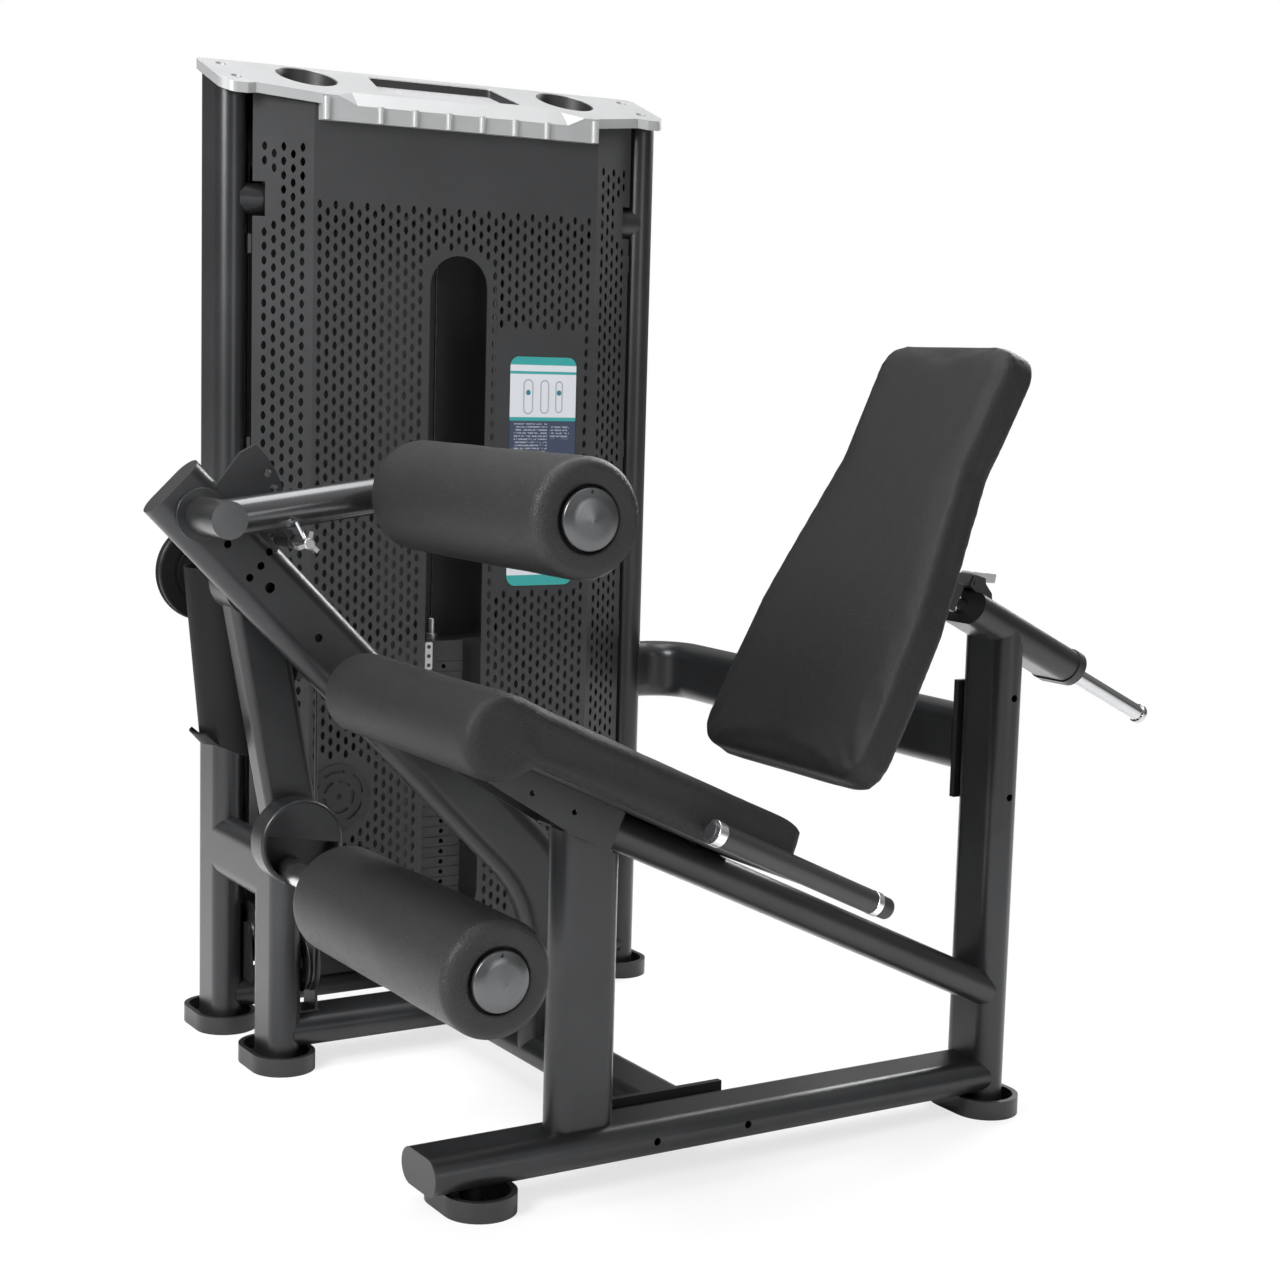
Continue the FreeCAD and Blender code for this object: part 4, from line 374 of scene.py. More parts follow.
FINISHES = {
    "frame_paint": (powder, dict(
        dark=(0.015, 0.0155, 0.0165), light=(0.034, 0.035, 0.037), metallic=0.45,
        rough=(0.27, 0.38), coat=0.1)),
    "skin_paint": (powder, dict(
        dark=(0.022, 0.0225, 0.0235), light=(0.038, 0.039, 0.041), metallic=0.25,
        rough=(0.42, 0.54), coat=0.05, peel=0.25)),
    "cover_silver": (powder, dict(
        dark=(0.31, 0.314, 0.318), light=(0.385, 0.389, 0.393), metallic=0.25,
        rough=(0.38, 0.48), peel=0.15)),
    "foot_rubber": (plastic, dict(
        dark=(0.010, 0.010, 0.011), light=(0.022, 0.022, 0.023), rough=0.38,
        texture=0.5, scale=700)),
    "black_plastic": (plastic, dict(
        dark=(0.012, 0.012, 0.013), light=(0.022, 0.022, 0.024), rough=0.42,
        texture=0.45, scale=1100)),
    "dome_plastic": (powder, dict(
        dark=(0.075, 0.077, 0.08), light=(0.115, 0.117, 0.12), metallic=0.75,
        rough=(0.24, 0.34), peel=0.12)),
    "chrome_rod": (chrome, {}),
    "steel_bright": (metal, dict(colour=(0.56, 0.56, 0.57), rough=0.22, brushed=0.5)),
    "collar_aluminium": (metal, dict(colour=(0.80, 0.80, 0.81), rough=0.16, brushed=0.4)),
    "plate_steel": (powder, dict(
        dark=(0.024, 0.0245, 0.025), light=(0.042, 0.043, 0.044), metallic=0.3,
        rough=(0.38, 0.5))),
    "pad_leather": (leather, dict(
        dark=(0.0055, 0.0055, 0.006), light=(0.010, 0.010, 0.011), rough=0.46,
        grain=560, depth=0.0006, specular=0.34, glint=0.5)),
    "foam_skin": (leather, dict(
        dark=(0.007, 0.007, 0.0075), light=(0.014, 0.014, 0.015), rough=0.33,
        grain=420, depth=0.0009, specular=0.42, glint=0.3)),
    "board_wood": (plastic, dict(
        dark=(0.014, 0.013, 0.012), light=(0.024, 0.022, 0.020), rough=0.6,
        specular=0.3, texture=0.8, scale=180)),
    "placard_print": (placard, {}),
    "cable_jacket": (plastic, dict(
        dark=(0.010, 0.010, 0.010), light=(0.020, 0.020, 0.020), rough=0.3,
        texture=0.2, scale=1500)),
    "grip_rubber": (plastic, dict(
        dark=(0.016, 0.016, 0.017), light=(0.026, 0.026, 0.027), rough=0.36,
        texture=0.7, scale=1400)),
    "arm_satin": (powder, dict(
        dark=(0.07, 0.071, 0.073), light=(0.11, 0.112, 0.115), metallic=0.85,
        rough=(0.20, 0.28), peel=0.1)),
    # guide rods: steel darkened to paint the shade inside the shroud
    "rod_dark": (metal, dict(colour=(0.05, 0.05, 0.052), rough=0.35, brushed=0.3, axis=2)),
    "guard_black": (powder, dict(
        dark=(0.004, 0.004, 0.0045), light=(0.009, 0.009, 0.0095), metallic=0.0,
        rough=(0.50, 0.62), peel=0.2, specular=0.14)),
    "shaft_black": (metal, dict(colour=(0.012, 0.012, 0.013), rough=0.4, brushed=0.2)),
    "label_white": (plastic, dict(
        dark=(0.70, 0.70, 0.70), light=(0.80, 0.80, 0.80), rough=0.4, texture=0.1)),
}
MATERIALS = {name: make(name, **values) for name, (make, values) in FINISHES.items()}
MATERIALS["liner"] = cup_and_tray()
MATERIALS["bolts"] = bolts()

# pieces whose finish differs from the material slot on record
OWN_FINISH = {
    "thigh_arm": "arm_satin", "hand_grips": "grip_rubber", "cover_liners": "liner",
    # the guide rods take the darkened steel that paints the shade inside the shroud
    "fasteners": "bolts", "guide_rods": "rod_dark", "cable_guard": "guard_black",
    "beam_shafts": "shaft_black", "cable_cam": "guard_black",
}


def paint_pieces():
    slots = {part["node"]: part["material_slot"] for part in frame["record"]["subparts"]}
    for name, piece in frame["nodes"].items():
        piece.data.materials.clear()
        piece.data.materials.append(MATERIALS[OWN_FINISH.get(name, slots[name])])


# ------------------------------------------------------------------ mesh helpers
def to_mesh(bm, name):
    mesh = bpy.data.meshes.new(name)
    bm.to_mesh(mesh)
    bm.free()
    return mesh


def add_object(name, data):
    piece = bpy.data.objects.new(name, data)
    SCENE.collection.objects.link(piece)
    return piece


def dress(piece, slot, body, replaced):
    """Give a piece its material, the body it moves with and the CAD piece it stands for."""
    piece.data.materials.append(MATERIALS[slot])
    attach(piece, body)
    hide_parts(replaced)


def smooth_faces(piece):
    for face in piece.data.polygons:
        face.use_smooth = True


def smooth_by_angle(piece, degrees):
    smooth_faces(piece)
    bm = bmesh.new()
    bm.from_mesh(piece.data)
    for edge in bm.edges:
        flat = edge.calc_face_angle(0) < math.radians(degrees)
        edge.smooth = len(edge.link_faces) == 2 and flat
    bm.to_mesh(piece.data)
    bm.free()


def apply_modifiers(piece):
    bpy.context.view_layer.update()
    depsgraph = bpy.context.evaluated_depsgraph_get()
    mesh = bpy.data.meshes.new_from_object(piece.evaluated_get(depsgraph))
    piece.modifiers.clear()
    piece.data = mesh


def rounded(corners, segments):
    """(x, y, radius) corners to a dense closed polyline."""
    points = []
    for i, (x, y, radius) in enumerate(corners):
        corner = Vector((x, y))
        back = (Vector(corners[i - 1][:2]) - corner).normalized()
        ahead = (Vector(corners[(i + 1) % len(corners)][:2]) - corner).normalized()
        half = back.angle(ahead) / 2
        reach = radius / math.tan(half)
        centre = corner + (back + ahead).normalized() * (radius / math.sin(half))
        start = corner + back * reach - centre
        end = corner + ahead * reach - centre
        turn = start.angle_signed(end)
        steps = max(2, int(segments * abs(turn) / (math.pi / 2)) + 1)
        for j in range(steps + 1):
            spoke = start.copy()
            spoke.rotate(Matrix.Rotation(-turn * j / steps, 2))
            points.append(centre + spoke)
    outline = [points[0]]
    for point in points[1:]:
        if (point - outline[-1]).length > 1e-6:
            outline.append(point)
    if (outline[0] - outline[-1]).length < 1e-6:
        outline.pop()
    return outline


def loft(rings, closed=False):
    """Skin over rings of points: last ring joined to the first if closed, else both ends capped."""
    bm = bmesh.new()
    rings = [[bm.verts.new(point) for point in ring] for ring in rings]
    pairs = list(zip(rings, rings[1:]))
    if closed:
        pairs.append((rings[-1], rings[0]))
    for a, b in pairs:
        for i in range(len(a)):
            j = (i + 1) % len(a)
            bm.faces.new([a[i], a[j], b[j], b[i]])
    if not closed:
        bm.faces.new(rings[0][::-1])
        bm.faces.new(rings[-1])
    bmesh.ops.recalc_face_normals(bm, faces=bm.faces)
    return bm


def prism(outline, levels, to_world):
    """Loft of the outline, pulled in by each (inset, depth) level's inset."""
    points = [Vector(p) for p in outline]
    n = len(points)
    area = sum(points[i].x * points[(i + 1) % n].y - points[(i + 1) % n].x * points[i].y
               for i in range(n))
    side = 1 if area > 0 else -1
    outward = []
    for i in range(n):
        along = (points[(i + 1) % n] - points[i - 1]).normalized()
        outward.append(Vector((along.y, -along.x)) * side)
    return loft([[to_world(points[i] - outward[i] * inset, depth) * MM for i in range(n)]
                 for inset, depth in levels])


def edge_levels(first_radius, last_radius, depth):
    """Prism levels with a rounded edge at each end of the depth."""
    steps = 5
    angles = [math.pi / 2 * k / steps for k in range(steps + 1)]
    first = [(first_radius * (1 - math.sin(a)), first_radius * (1 - math.cos(a)))
             for a in angles]
    last = [(last_radius * (1 - math.cos(a)), depth - last_radius + last_radius * math.sin(a))
            for a in angles]
    return first + last


# ------------------------------------------------------------------ perforated front shroud
FOLDS = [(30, 855), (118, 818), (638, 818), (725, 855)]       # x, y of edges and folds, outer face
FACET_WIDTHS = [math.hypot(b[0] - a[0], b[1] - a[1]) for a, b in zip(FOLDS, FOLDS[1:])]
SKIN = 2.0
SHROUD_BASE = 84.0
STEP_X, STEP_TOP = 80, 250                # the -X facet stands on a step from its edge to STEP_X
NOTCH_DEPTH, NOTCH_LOW, NOTCH_HIGH = 18, 1318, 1372           # notch in each outer edge
TOP_SLOPE = math.tan(math.radians(20.5))
SLOT_LOW, SLOT_HIGH = 150.0, 1271.0
SLOT_HALF, SLOT_RADIUS = 53, 52.9
HOLE_HALF_WIDTH, HOLE_HALF_HEIGHT = 4.1, 7.2
ROW_PITCH = 22.2                          # every other column is half a pitch lower
SIDE_PITCH, CENTRE_PITCH = 14.9, 13.75
SIDE_COLUMNS, CENTRE_COLUMNS = 5, 37
SIDE_TOP_ROW, CENTRE_TOP_ROW = 1427.0, 1340.5


def shroud_top(y):
    return 1524 + (y - 884) * TOP_SLOPE - 0.3


def hole(x, z):
    """Twelve-sided oval, a little flattened on its diagonals."""
    points = []
    for j in range(12):
        a = 2 * math.pi * (j + 0.5) / 12
        pull = 1.0 - 0.10 * math.sin(2 * a) ** 2
        points.append((x + HOLE_HALF_WIDTH * math.cos(a) * pull,
                       z + HOLE_HALF_HEIGHT * math.sin(a) * pull))
    return points


def hole_grid(first_x, pitch, columns, top_row, low_limit, plain):
    """Staggered holes, left out where plain(column, x, z) is true."""
    holes = []
    for j in range(columns):
        x = first_x + pitch * j
        z = top_row - (ROW_PITCH / 2 if j % 2 else 0)
        while z > low_limit:
            if not plain(j, x, z):
                holes.append(hole(x, z))
            z -= ROW_PITCH
    return holes


def low_x_facet():
    width = FACET_WIDTHS[0]
    run = FOLDS[1][0] - FOLDS[0][0]
    step = (STEP_X - FOLDS[0][0]) / run * width
    notch = NOTCH_DEPTH / run * width
    outline = [(0, STEP_TOP), (step, STEP_TOP), (step, SHROUD_BASE), (width, SHROUD_BASE),
               (width, shroud_top(FOLDS[1][1])), (0, shroud_top(FOLDS[0][1])),
               (0, NOTCH_HIGH), (notch, NOTCH_HIGH), (notch, NOTCH_LOW), (0, NOTCH_LOW)]
    return [outline] + hole_grid(18.5, SIDE_PITCH, SIDE_COLUMNS, SIDE_TOP_ROW, 290,
                                 lambda j, x, z: j < 2 and 1305 < z < 1385)


def centre_facet():
    """Widths are measured from the fold on its -X side."""
    width = FACET_WIDTHS[1]
    top = shroud_top(FOLDS[1][1])
    slot_x = STACK_X - FOLDS[1][0]
    outline = [(0, SHROUD_BASE), (width, SHROUD_BASE), (width, top), (0, top)]
    slot = rounded([(slot_x - SLOT_HALF, SLOT_LOW, SLOT_RADIUS),
                    (slot_x + SLOT_HALF, SLOT_LOW, SLOT_RADIUS),
                    (slot_x + SLOT_HALF, SLOT_HIGH, SLOT_RADIUS),
                    (slot_x - SLOT_HALF, SLOT_HIGH, SLOT_RADIUS)], 14)

    def plain(j, x, z):
        """A margin round the slot, a rectangle beside it, and a disc low on the -X side."""
        slot_z = min(max(z, SLOT_LOW + SLOT_HALF), SLOT_HIGH - SLOT_HALF)
        return (math.hypot(x - slot_x, z - slot_z) < SLOT_HALF + 13.5
                or (338 < x < 500 and 715 < z < 1162)
                or math.hypot(x - 52.5, z - 383) < 66)

    return [outline, slot] + hole_grid(10.7, CENTRE_PITCH, CENTRE_COLUMNS, CENTRE_TOP_ROW, 160,
                                       plain)


def high_x_facet():
    width = FACET_WIDTHS[2]
    notch = width - NOTCH_DEPTH / (FOLDS[3][0] - FOLDS[2][0]) * width
    outline = [(0, SHROUD_BASE), (width, SHROUD_BASE), (width, NOTCH_LOW), (notch, NOTCH_LOW),
               (notch, NOTCH_HIGH), (width, NOTCH_HIGH), (width, shroud_top(FOLDS[3][1])),
               (0, shroud_top(FOLDS[2][1]))]
    return [outline] + hole_grid(16.5, SIDE_PITCH, SIDE_COLUMNS, SIDE_TOP_ROW, 160,
                                 lambda j, x, z: j > 2 and 1305 < z < 1385)


def mitred(path, distance):
    """The open path moved towards +Y, with mitred corners."""
    moved = []
    for i, (x, y) in enumerate(path):
        near = path[max(i - 1, 0):i + 2]
        runs = [(b[0] - a[0], b[1] - a[1]) for a, b in zip(near, near[1:])]
        nx = sum(-run[1] / math.hypot(*run) for run in runs) / len(runs)
        ny = sum(run[0] / math.hypot(*run) for run in runs) / len(runs)
        square = nx * nx + ny * ny
        moved.append((x + nx / square * distance, y + ny / square * distance))
    return moved


def add_face(bm, verts):
    # the triangulation may return a face twice, which bmesh refuses
    try:
        bm.faces.new(verts)
    except ValueError:
        pass


def add_facet(bm, loops, width, outer, inner, folds):
    """Two pierced skins and the walls between them, none along a fold. outer and inner hold
    the (x, y) of the facet's two upright edges."""
    points, rings = [], []
    for loop in loops:
        rings.append(list(range(len(points), len(points) + len(loop))))
        points += [Vector(p) for p in loop]
    flat, _, faces, _, _, sources = delaunay_2d_cdt(points, [], rings, 1, 1e-5)
    # faces inside the outline only, not inside a hole
    faces = [face for face, source in zip(faces, sources) if list(source) == [0]]

    def place(point, ends):
        t = point[0] / width
        a, b = ends
        return Vector(((a[0] + (b[0] - a[0]) * t) * MM, (a[1] + (b[1] - a[1]) * t) * MM,
                       point[1] * MM))
    front = [bm.verts.new(place(p, outer)) for p in flat]
    back = [bm.verts.new(place(p, inner)) for p in flat]
    for face in faces:
        add_face(bm, [front[i] for i in face])
        add_face(bm, [back[i] for i in reversed(face)])
    edges = dict.fromkeys((face[i], face[(i + 1) % len(face)])
                          for face in faces for i in range(len(face)))
    for a, b in edges:
        on_fold = any(abs(flat[a][0] - fold) < 1e-3 and abs(flat[b][0] - fold) < 1e-3
                      for fold in folds)
        if (b, a) not in edges and not on_fold:
            add_face(bm, [front[b], front[a], back[a], back[b]])


def shroud():
    inner = mitred(FOLDS, SKIN)
    bm = bmesh.new()
    for i, loops in enumerate((low_x_facet(), centre_facet(), high_x_facet())):
        width = FACET_WIDTHS[i]
        folds = ([0.0] if i > 0 else []) + ([width] if i < 2 else [])
        add_facet(bm, loops, width, FOLDS[i:i + 2], inner[i:i + 2], folds)
    bmesh.ops.remove_doubles(bm, verts=bm.verts, dist=1e-6)
    bmesh.ops.recalc_face_normals(bm, faces=bm.faces)
    name = "front_shroud_perforated"
    dress(add_object(name, to_mesh(bm, name)), "skin_paint", "frame", "front_shroud")


# ------------------------------------------------------------------ foam rollers
ROLLER_RADIUS, ROLLER_HALF, ROLLER_EDGE, ROLLER_BORE = 75.0, 230.0, 15.0, 16.0
ROLLER_SEGMENTS = 128
# radius, y of the recess and lip in the -Y end
ROLLER_RECESS = [(ROLLER_BORE, -222.0), (40.4, -222.0), (41.3, -223.0), (41.7, -227.5),
                 (43.2, -229.3), (46.0, -229.8), (54.0, -230.0)]


def roller_profile():
    """(radius, y) points from the bore at -Y, over the outside, to the bore at +Y."""
    core, shoulder = ROLLER_RADIUS - ROLLER_EDGE, ROLLER_HALF - ROLLER_EDGE
    profile = list(ROLLER_RECESS)
    for k in range(9):
        a = math.pi / 2 * k / 8
        profile.append((core + ROLLER_EDGE * math.sin(a), -shoulder - ROLLER_EDGE * math.cos(a)))
    profile += [(ROLLER_RADIUS, float(y)) for y in np.linspace(-200, 200, 33)]
    for k in range(9):
        a = math.pi / 2 * (1 - k / 8)
        profile.append((core + ROLLER_EDGE * math.sin(a), shoulder + ROLLER_EDGE * math.cos(a)))
    return profile + [(40.0, ROLLER_HALF), (ROLLER_BORE, ROLLER_HALF)]


def foam_roller(name, x, z, body, replaced):
    """The profile turned about Y, with a slight unevenness that dies out at the ends."""
    phase = x * 0.01
    rings = []
    for radius, y in roller_profile():
        ring = []
        fade = max(0.0, 1 - abs(y) / ROLLER_HALF)
        for i in range(ROLLER_SEGMENTS):
            a = 2 * math.pi * i / ROLLER_SEGMENTS
            lobes = 0.45 * math.sin(3 * a + y * 0.013 + phase) * fade
            waves = 0.35 * math.sin(y * 0.045 + 2 * a + phase * 3) * fade
            r = radius + (lobes + waves - 0.5)
            ring.append(((x + r * math.cos(a)) * MM, y * MM, (z + r * math.sin(a)) * MM))
        rings.append(ring)
    roller = add_object(name, to_mesh(loft(rings, closed=True), name))
    smooth_by_angle(roller, 50)
    dress(roller, "foam_skin", body, replaced)


# ------------------------------------------------------------------ cushions
BACK_LEAN = math.radians(26.6)
BACK_ORIGIN = Vector((452, 0, 558))
BACK_UP = Vector((math.sin(BACK_LEAN), 0, math.cos(BACK_LEAN)))
BACK_DEPTH = Vector((math.cos(BACK_LEAN), 0, -math.sin(BACK_LEAN)))
# the -Y half of the backrest outline: y, distance up the back, corner radius
BACK_SIDE = [(-192, 2, 45), (-192, 130, 60), (-185, 245, 150), (-142, 468, 60), (-149, 658, 42)]
BACK_SPACING = 8                          # longest gap between outline points, roughly

SEAT_TILT = math.radians(24.6)
SEAT_ORIGIN = Vector((155, 0, 505.6))
SEAT_ALONG = Vector((math.cos(SEAT_TILT), 0, -math.sin(SEAT_TILT)))      # s, towards the rear
SEAT_NORMAL = Vector((math.sin(SEAT_TILT), 0, math.cos(SEAT_TILT)))      # n, out of the seat
SEAT_WIDTH = 420.0
SEAT_REAR, SEAT_TOP, SEAT_UNDER, SEAT_CORNER = 200, 94.0, 27.0, 12.0
ROLL_RADIUS, ROLL_S = 55.0, -270.0        # the rolled front edge and its centre

PUFF_LIMIT = 0.0035                       # metres the cover may travel
PUFF_FRAMES = 20


def positions(mesh):
    flat = np.empty(len(mesh.vertices) * 3)
    mesh.vertices.foreach_get("co", flat)
    return flat.reshape(-1, 3)


def add_smooth(piece, iterations):
    smooth = piece.modifiers.new("s", "SMOOTH")
    smooth.factor = 0.5
    smooth.iterations = iterations


def puff(cushion, pressure, hold):
    """Blow the cover up with cloth pressure and limit how far each point travels."""
    rest = positions(cushion.data)
    group = cushion.vertex_groups.new(name="hold")
    for i, point in enumerate(rest):
        weight = hold(Vector(point * 1000))
        if weight > 0:
            group.add([i], weight, "REPLACE")
    cloth = cushion.modifiers.new("c", "CLOTH")
    settings = cloth.settings
    settings.quality = 6
    settings.mass = 0.3
    settings.tension_stiffness = 30
    settings.compression_stiffness = 30
    settings.shear_stiffness = 15
    settings.bending_stiffness = 3
    settings.use_pressure = True
    settings.uniform_pressure_force = pressure
    settings.vertex_group_mass = "hold"
    settings.effector_weights.gravity = 0
    cloth.collision_settings.use_collision = False
    cloth.collision_settings.use_self_collision = False
    cloth.point_cache.frame_start = 1
    cloth.point_cache.frame_end = PUFF_FRAMES
    for f in range(1, PUFF_FRAMES + 1):
        SCENE.frame_set(f)
    depsgraph = bpy.context.evaluated_depsgraph_get()
    puffed = positions(cushion.evaluated_get(depsgraph).data)
    cushion.modifiers.clear()
    SCENE.frame_set(1)
    # a simulation that blew up leaves the cover as it was
    if puffed.shape == rest.shape and np.isfinite(puffed).all():
        travel = puffed - rest
        length = np.linalg.norm(travel, axis=1)
        share = PUFF_LIMIT * np.tanh(length / PUFF_LIMIT) / np.maximum(length, 1e-9)
        placed = rest + travel * share[:, None]
        cushion.data.vertices.foreach_set("co", placed.reshape(-1))
        cushion.data.update()


def make_cushion(name, bm, voxel, pressure, hold, body, replaced):
    """Remesh evenly, puff and smooth. hold(point) is 1 where the cover is fixed to its board."""
    cushion = add_object(name, to_mesh(bm, name))
    remesh = cushion.modifiers.new("r", "REMESH")
    remesh.mode = "VOXEL"
    remesh.voxel_size = voxel
    remesh.adaptivity = 0
    apply_modifiers(cushion)
    add_smooth(cushion, 5)
    apply_modifiers(cushion)
    puff(cushion, pressure, hold)
    add_smooth(cushion, 3)
    subdivision = cushion.modifiers.new("u", "SUBSURF")
    subdivision.levels = 1
    subdivision.render_levels = subdivision.levels
    apply_modifiers(cushion)
    smooth_faces(cushion)
    dress(cushion, "pad_leather", body, replaced)


def back_cushion():
    corners = BACK_SIDE + [(-y, up, radius) for y, up, radius in reversed(BACK_SIDE)]
    outline = rounded(corners, 12)
    dense = []
    for i, p in enumerate(outline):
        q = outline[(i + 1) % len(outline)]
        steps = max(1, int((q - p).length / BACK_SPACING))
        dense += [p + (q - p) * j / steps for j in range(steps)]

    def to_world(p, depth):
        return BACK_ORIGIN + Vector((0, 1, 0)) * p.x + BACK_UP * p.y + BACK_DEPTH * depth

    def hold(point):
        depth = (point - BACK_ORIGIN).dot(BACK_DEPTH)
        return min(1.0, max(0.0, (depth - 34) / 12))

    make_cushion("backrest_cushion", prism(dense, edge_levels(10, 7, 55.0), to_world),
                 voxel=0.0068, pressure=3.2, hold=hold, body="backrest", replaced="backrest_pad")


def seat_profile():
    """Side profile in (s, n): top from the rear to the roll, round the roll, back underneath."""
    points = []
    corner_s, corner_n = SEAT_REAR - SEAT_CORNER, SEAT_TOP - SEAT_CORNER
    for k in range(7):
        a = math.pi / 2 * k / 6
        points.append(Vector((corner_s + SEAT_CORNER * math.cos(a),
                              corner_n + SEAT_CORNER * math.sin(a))))
    points += [Vector((float(s), SEAT_TOP)) for s in np.linspace(176, ROLL_S, 46)[:-1]]
    # the roll ends where it meets the underside, just under the horizontal on its rear side
    roll_n = SEAT_TOP - ROLL_RADIUS
    reach = math.sqrt(ROLL_RADIUS ** 2 - (roll_n - SEAT_UNDER) ** 2)
    end = math.atan2(SEAT_UNDER - roll_n, reach)
    for k in range(45):
        a = math.pi / 2 + (2 * math.pi + end - math.pi / 2) * k / 44
        points.append(Vector((ROLL_S + ROLL_RADIUS * math.cos(a),
                              roll_n + ROLL_RADIUS * math.sin(a))))
    # soft inner corner into the flat underside
    last = points[-1].x
    for k in range(1, 5):
        t = k / 4
        points.append(Vector((last + 1 + 14 * t, SEAT_UNDER + 0.2 * (1 - t))))
    points += [Vector((float(s), SEAT_UNDER)) for s in np.linspace(last + 24, 194, 48)]
    points += [Vector((199, 28.5)), Vector((SEAT_REAR, 34))]
    points += [Vector((SEAT_REAR, float(n))) for n in np.linspace(42, corner_n - 6, 6)]
    return points


def seat_cushion():
    def to_world(p, depth):
        across = Vector((0, depth - SEAT_WIDTH / 2, 0))
        return SEAT_ORIGIN + SEAT_ALONG * p.x + SEAT_NORMAL * p.y + across

    def hold(point):
        n = (point - SEAT_ORIGIN).dot(SEAT_NORMAL)
        s = (point - SEAT_ORIGIN).dot(SEAT_ALONG)
        return min(1.0, max(0.0, (46 - n) / 10)) if s > -215 else 0.0

    make_cushion("seat_cushion", prism(seat_profile(), edge_levels(11, 11, SEAT_WIDTH), to_world),
                 voxel=0.0070, pressure=3.0, hold=hold, body="frame", replaced="seat_pad")


# ------------------------------------------------------------------ stack label and cable
def label_strip():
    """Small printed strip on the front edges of the head plate and the plates under it."""
    outline = rounded([(342, 580, 3), (356, 580, 3), (356, 627, 3), (342, 627, 3)], 5)
    levels = [(0.5, 0.0), (0.0, 0.5), (0.0, 1.5)]
    bm = prism(outline, levels, lambda p, depth: Vector((p.x, 850.5 + depth, p.y)))
    strip = add_object("stack_label_strip", to_mesh(bm, "stack_label_strip"))
    strip.data.materials.append(label_dots())
    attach(strip, "lifted_stack")


def hanging_cable():
    """Hanging length of the cable: even strands."""
    cable_y, low, high = 902.0, 662.6, 1430.0
    radius, strand_height, strands, twist = 2.34, 0.14, 5, 0.035     # twist: radians per mm
    segments, steps = 20, 96
    rings = []
    for i in range(steps + 1):
        z = low + (high - low) * i / steps
        ring = []
        for j in range(segments):
            a = 2 * math.pi * j / segments
            r = radius + strand_height * math.cos(strands * (a - z * twist))
            ring.append(Vector((STACK_X + r * math.cos(a), cable_y + r * math.sin(a), z)) * MM)
        rings.append(ring)
    cable = add_object("hanging_cable", to_mesh(loft(rings), "hanging_cable"))
    cable.data.materials.append(MATERIALS["cable_jacket"])
    smooth_faces(cable)
    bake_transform(cable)
    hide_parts("cable_drop")


# ------------------------------------------------------------------ floor, light, camera
def floor_material():
    """Pale floor that runs out to the white of the backdrop away from the machine."""
    s = Surface("floor_pale")
    s.set("Base Color", s.mix(s.noise(scale=3), (0.88, 0.88, 0.88), (0.92, 0.92, 0.92)))
    s.set("Roughness", 0.85)
    away = s.new("VectorMath")
    away.operation = "DISTANCE"
    away.inputs[1].default_value = (0.35, 0.35, 0.0)
    s.feed(away.inputs[0], s.coords)
    far = s.ramp(s.mul(away.outputs["Value"], 0.5), [(0.30, 0.72), (0.62, 1.0)], "EASE")
    light_path = s.new("LightPath")
    glow = s.new("Emission")
    glow.inputs[1].default_value = 1.0
    fade = s.mul(far, light_path.outputs["Is Camera Ray"])
    mixed = s.mix_shader(fade, s.principled.outputs[0], glow.outputs[0])
    s.feed(s.output.inputs[0], mixed)
    return s.material


def add_floor():
    half = 14
    mesh = bpy.data.meshes.new("floor")
    mesh.from_pydata([(-half, -half, 0), (half, -half, 0), (half, half, 0), (-half, half, 0)],
                     [], [(0, 1, 2, 3)])
    floor = add_object("floor", mesh)
    mesh.materials.append(floor_material())


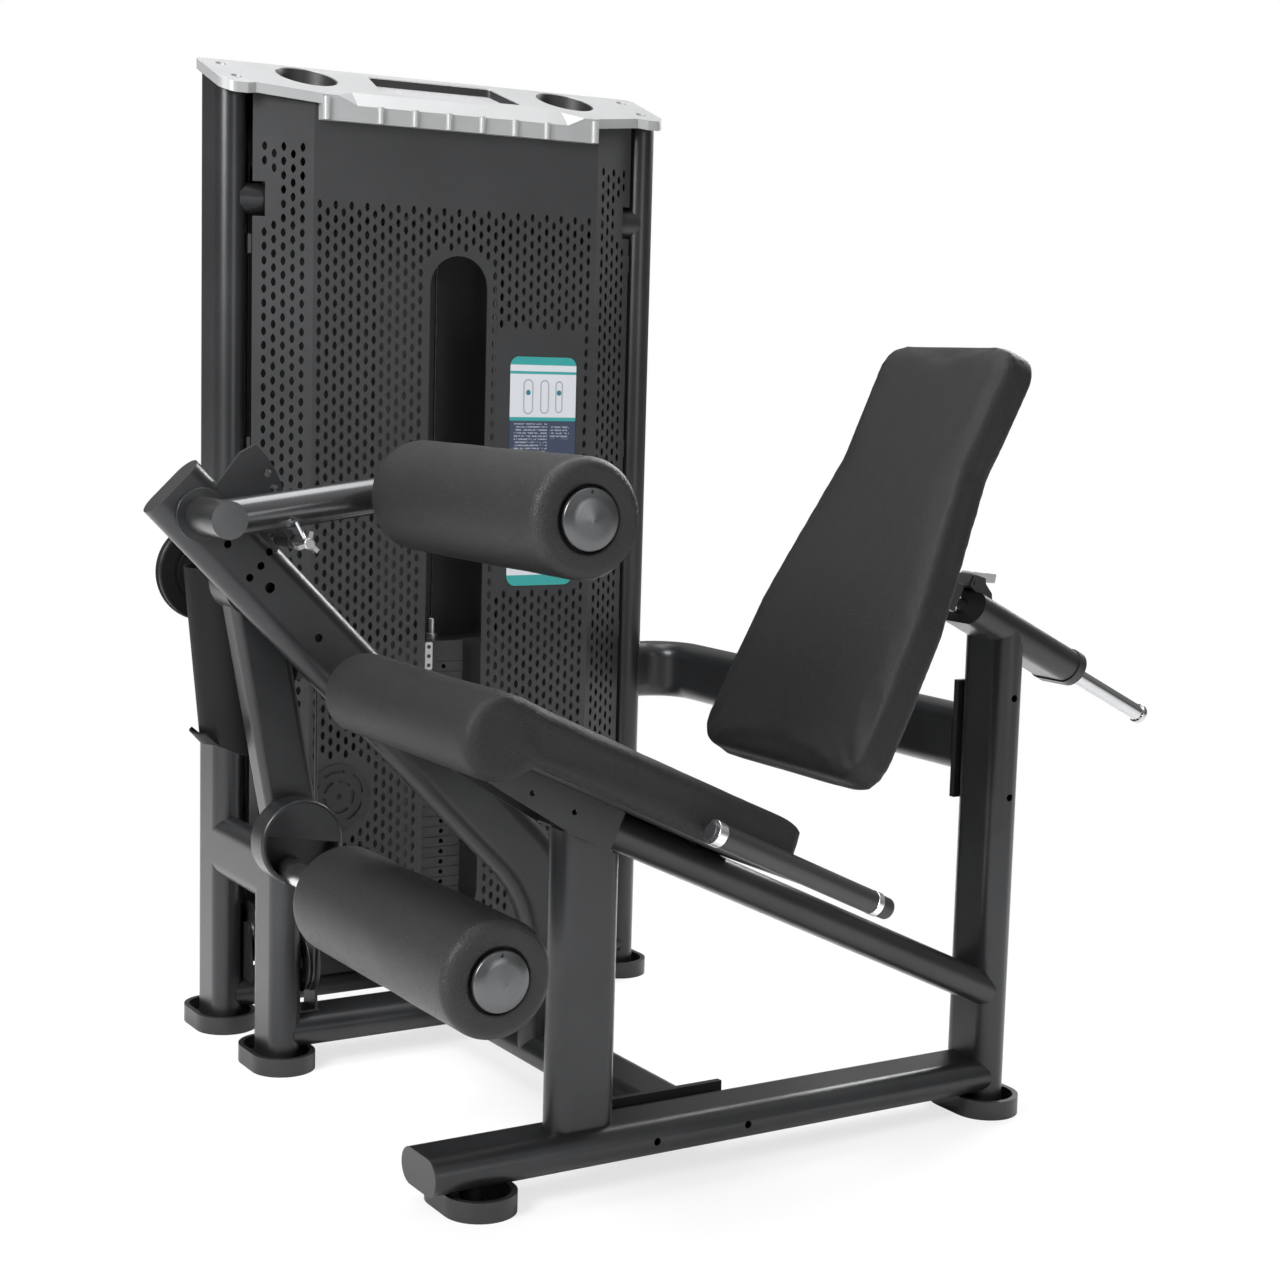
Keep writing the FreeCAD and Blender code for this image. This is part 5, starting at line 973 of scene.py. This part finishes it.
def add_world():
    """White to the camera. Lights as a studio: pale ceiling, mid walls, dark horizon band."""
    world = bpy.data.worlds.new("studio")
    SCENE.world = world
    s = Nodes(world)
    output = s.new("OutputWorld")
    light_path = s.new("LightPath")
    white = s.new("Background")
    s.feed(white.inputs[0], (1, 1, 1))
    white.inputs[1].default_value = 1.0
    room = s.new("Background")
    z = s.xyz(s.new("TexCoord").outputs["Generated"])[2]
    # height from 0 straight down to 1 straight up, grey
    greys = [(0.0, 0.45), (0.44, 0.30), (0.52, 0.16), (0.66, 0.26), (0.82, 0.62), (1.0, 1.0)]
    s.feed(room.inputs[0], s.ramp(s.scaled(z, gain=0.5, base=0.5), greys))
    room.inputs[1].default_value = 0.9
    mixed = s.mix_shader(light_path.outputs["Is Camera Ray"], room.outputs[0], white.outputs[0])
    s.feed(output.inputs[0], mixed)


# name, location, target, side of the square, watts
LIGHTS = [
    ("key", (-3.0, -0.9, 2.6), (0.2, 0.4, 0.8), 1.6, 190),
    ("top", (0.2, 1.0, 4.2), (0.4, 0.3, 0.5), 2.4, 100),
    ("rim", (3.2, 1.6, 2.6), (0.5, 0.2, 0.6), 1.4, 90),
    ("fill", (1.2, -4.4, 1.6), (0.3, 0.3, 0.7), 1.8, 34),
]


def add_lights():
    for name, location, target, size, power in LIGHTS:
        light = bpy.data.lights.new(name, "AREA")
        light.shape = "RECTANGLE"
        light.size = size
        light.size_y = size
        light.energy = power
        lamp = add_object(name, light)
        lamp.location = location
        aim = Vector(target) - Vector(location)
        lamp.rotation_euler = aim.to_track_quat("-Z", "Y").to_euler()


def add_camera():
    data = bpy.data.cameras.new("camera")
    data.sensor_width = 36
    data.lens = 62.16
    data.clip_end = 60
    camera = add_object("camera", data)
    right = (0.85042, -0.52539, 0.02732)
    up = (0.04166, 0.11901, 0.99202)
    back = (-0.52445, -0.84249, 0.12310)
    location = (-1.305, -2.480, 1.100)
    camera.matrix_world = Matrix([*zip(right, up, back, location), (0, 0, 0, 1)])
    SCENE.camera = camera
    SCENE.view_settings.view_transform = "Standard"
    SCENE.view_settings.look = "None"


# ------------------------------------------------------------------ build
paint_pieces()
shroud()
foam_roller("thigh_roller_cover", 21, 918, "thigh_roller", "thigh_roller_foam")
foam_roller("ankle_roller_cover", -87, 370, "ankle_roller", "ankle_roller_foam")
back_cushion()
seat_cushion()
label_strip()
hanging_cable()
add_floor()
add_world()
add_lights()
add_camera()
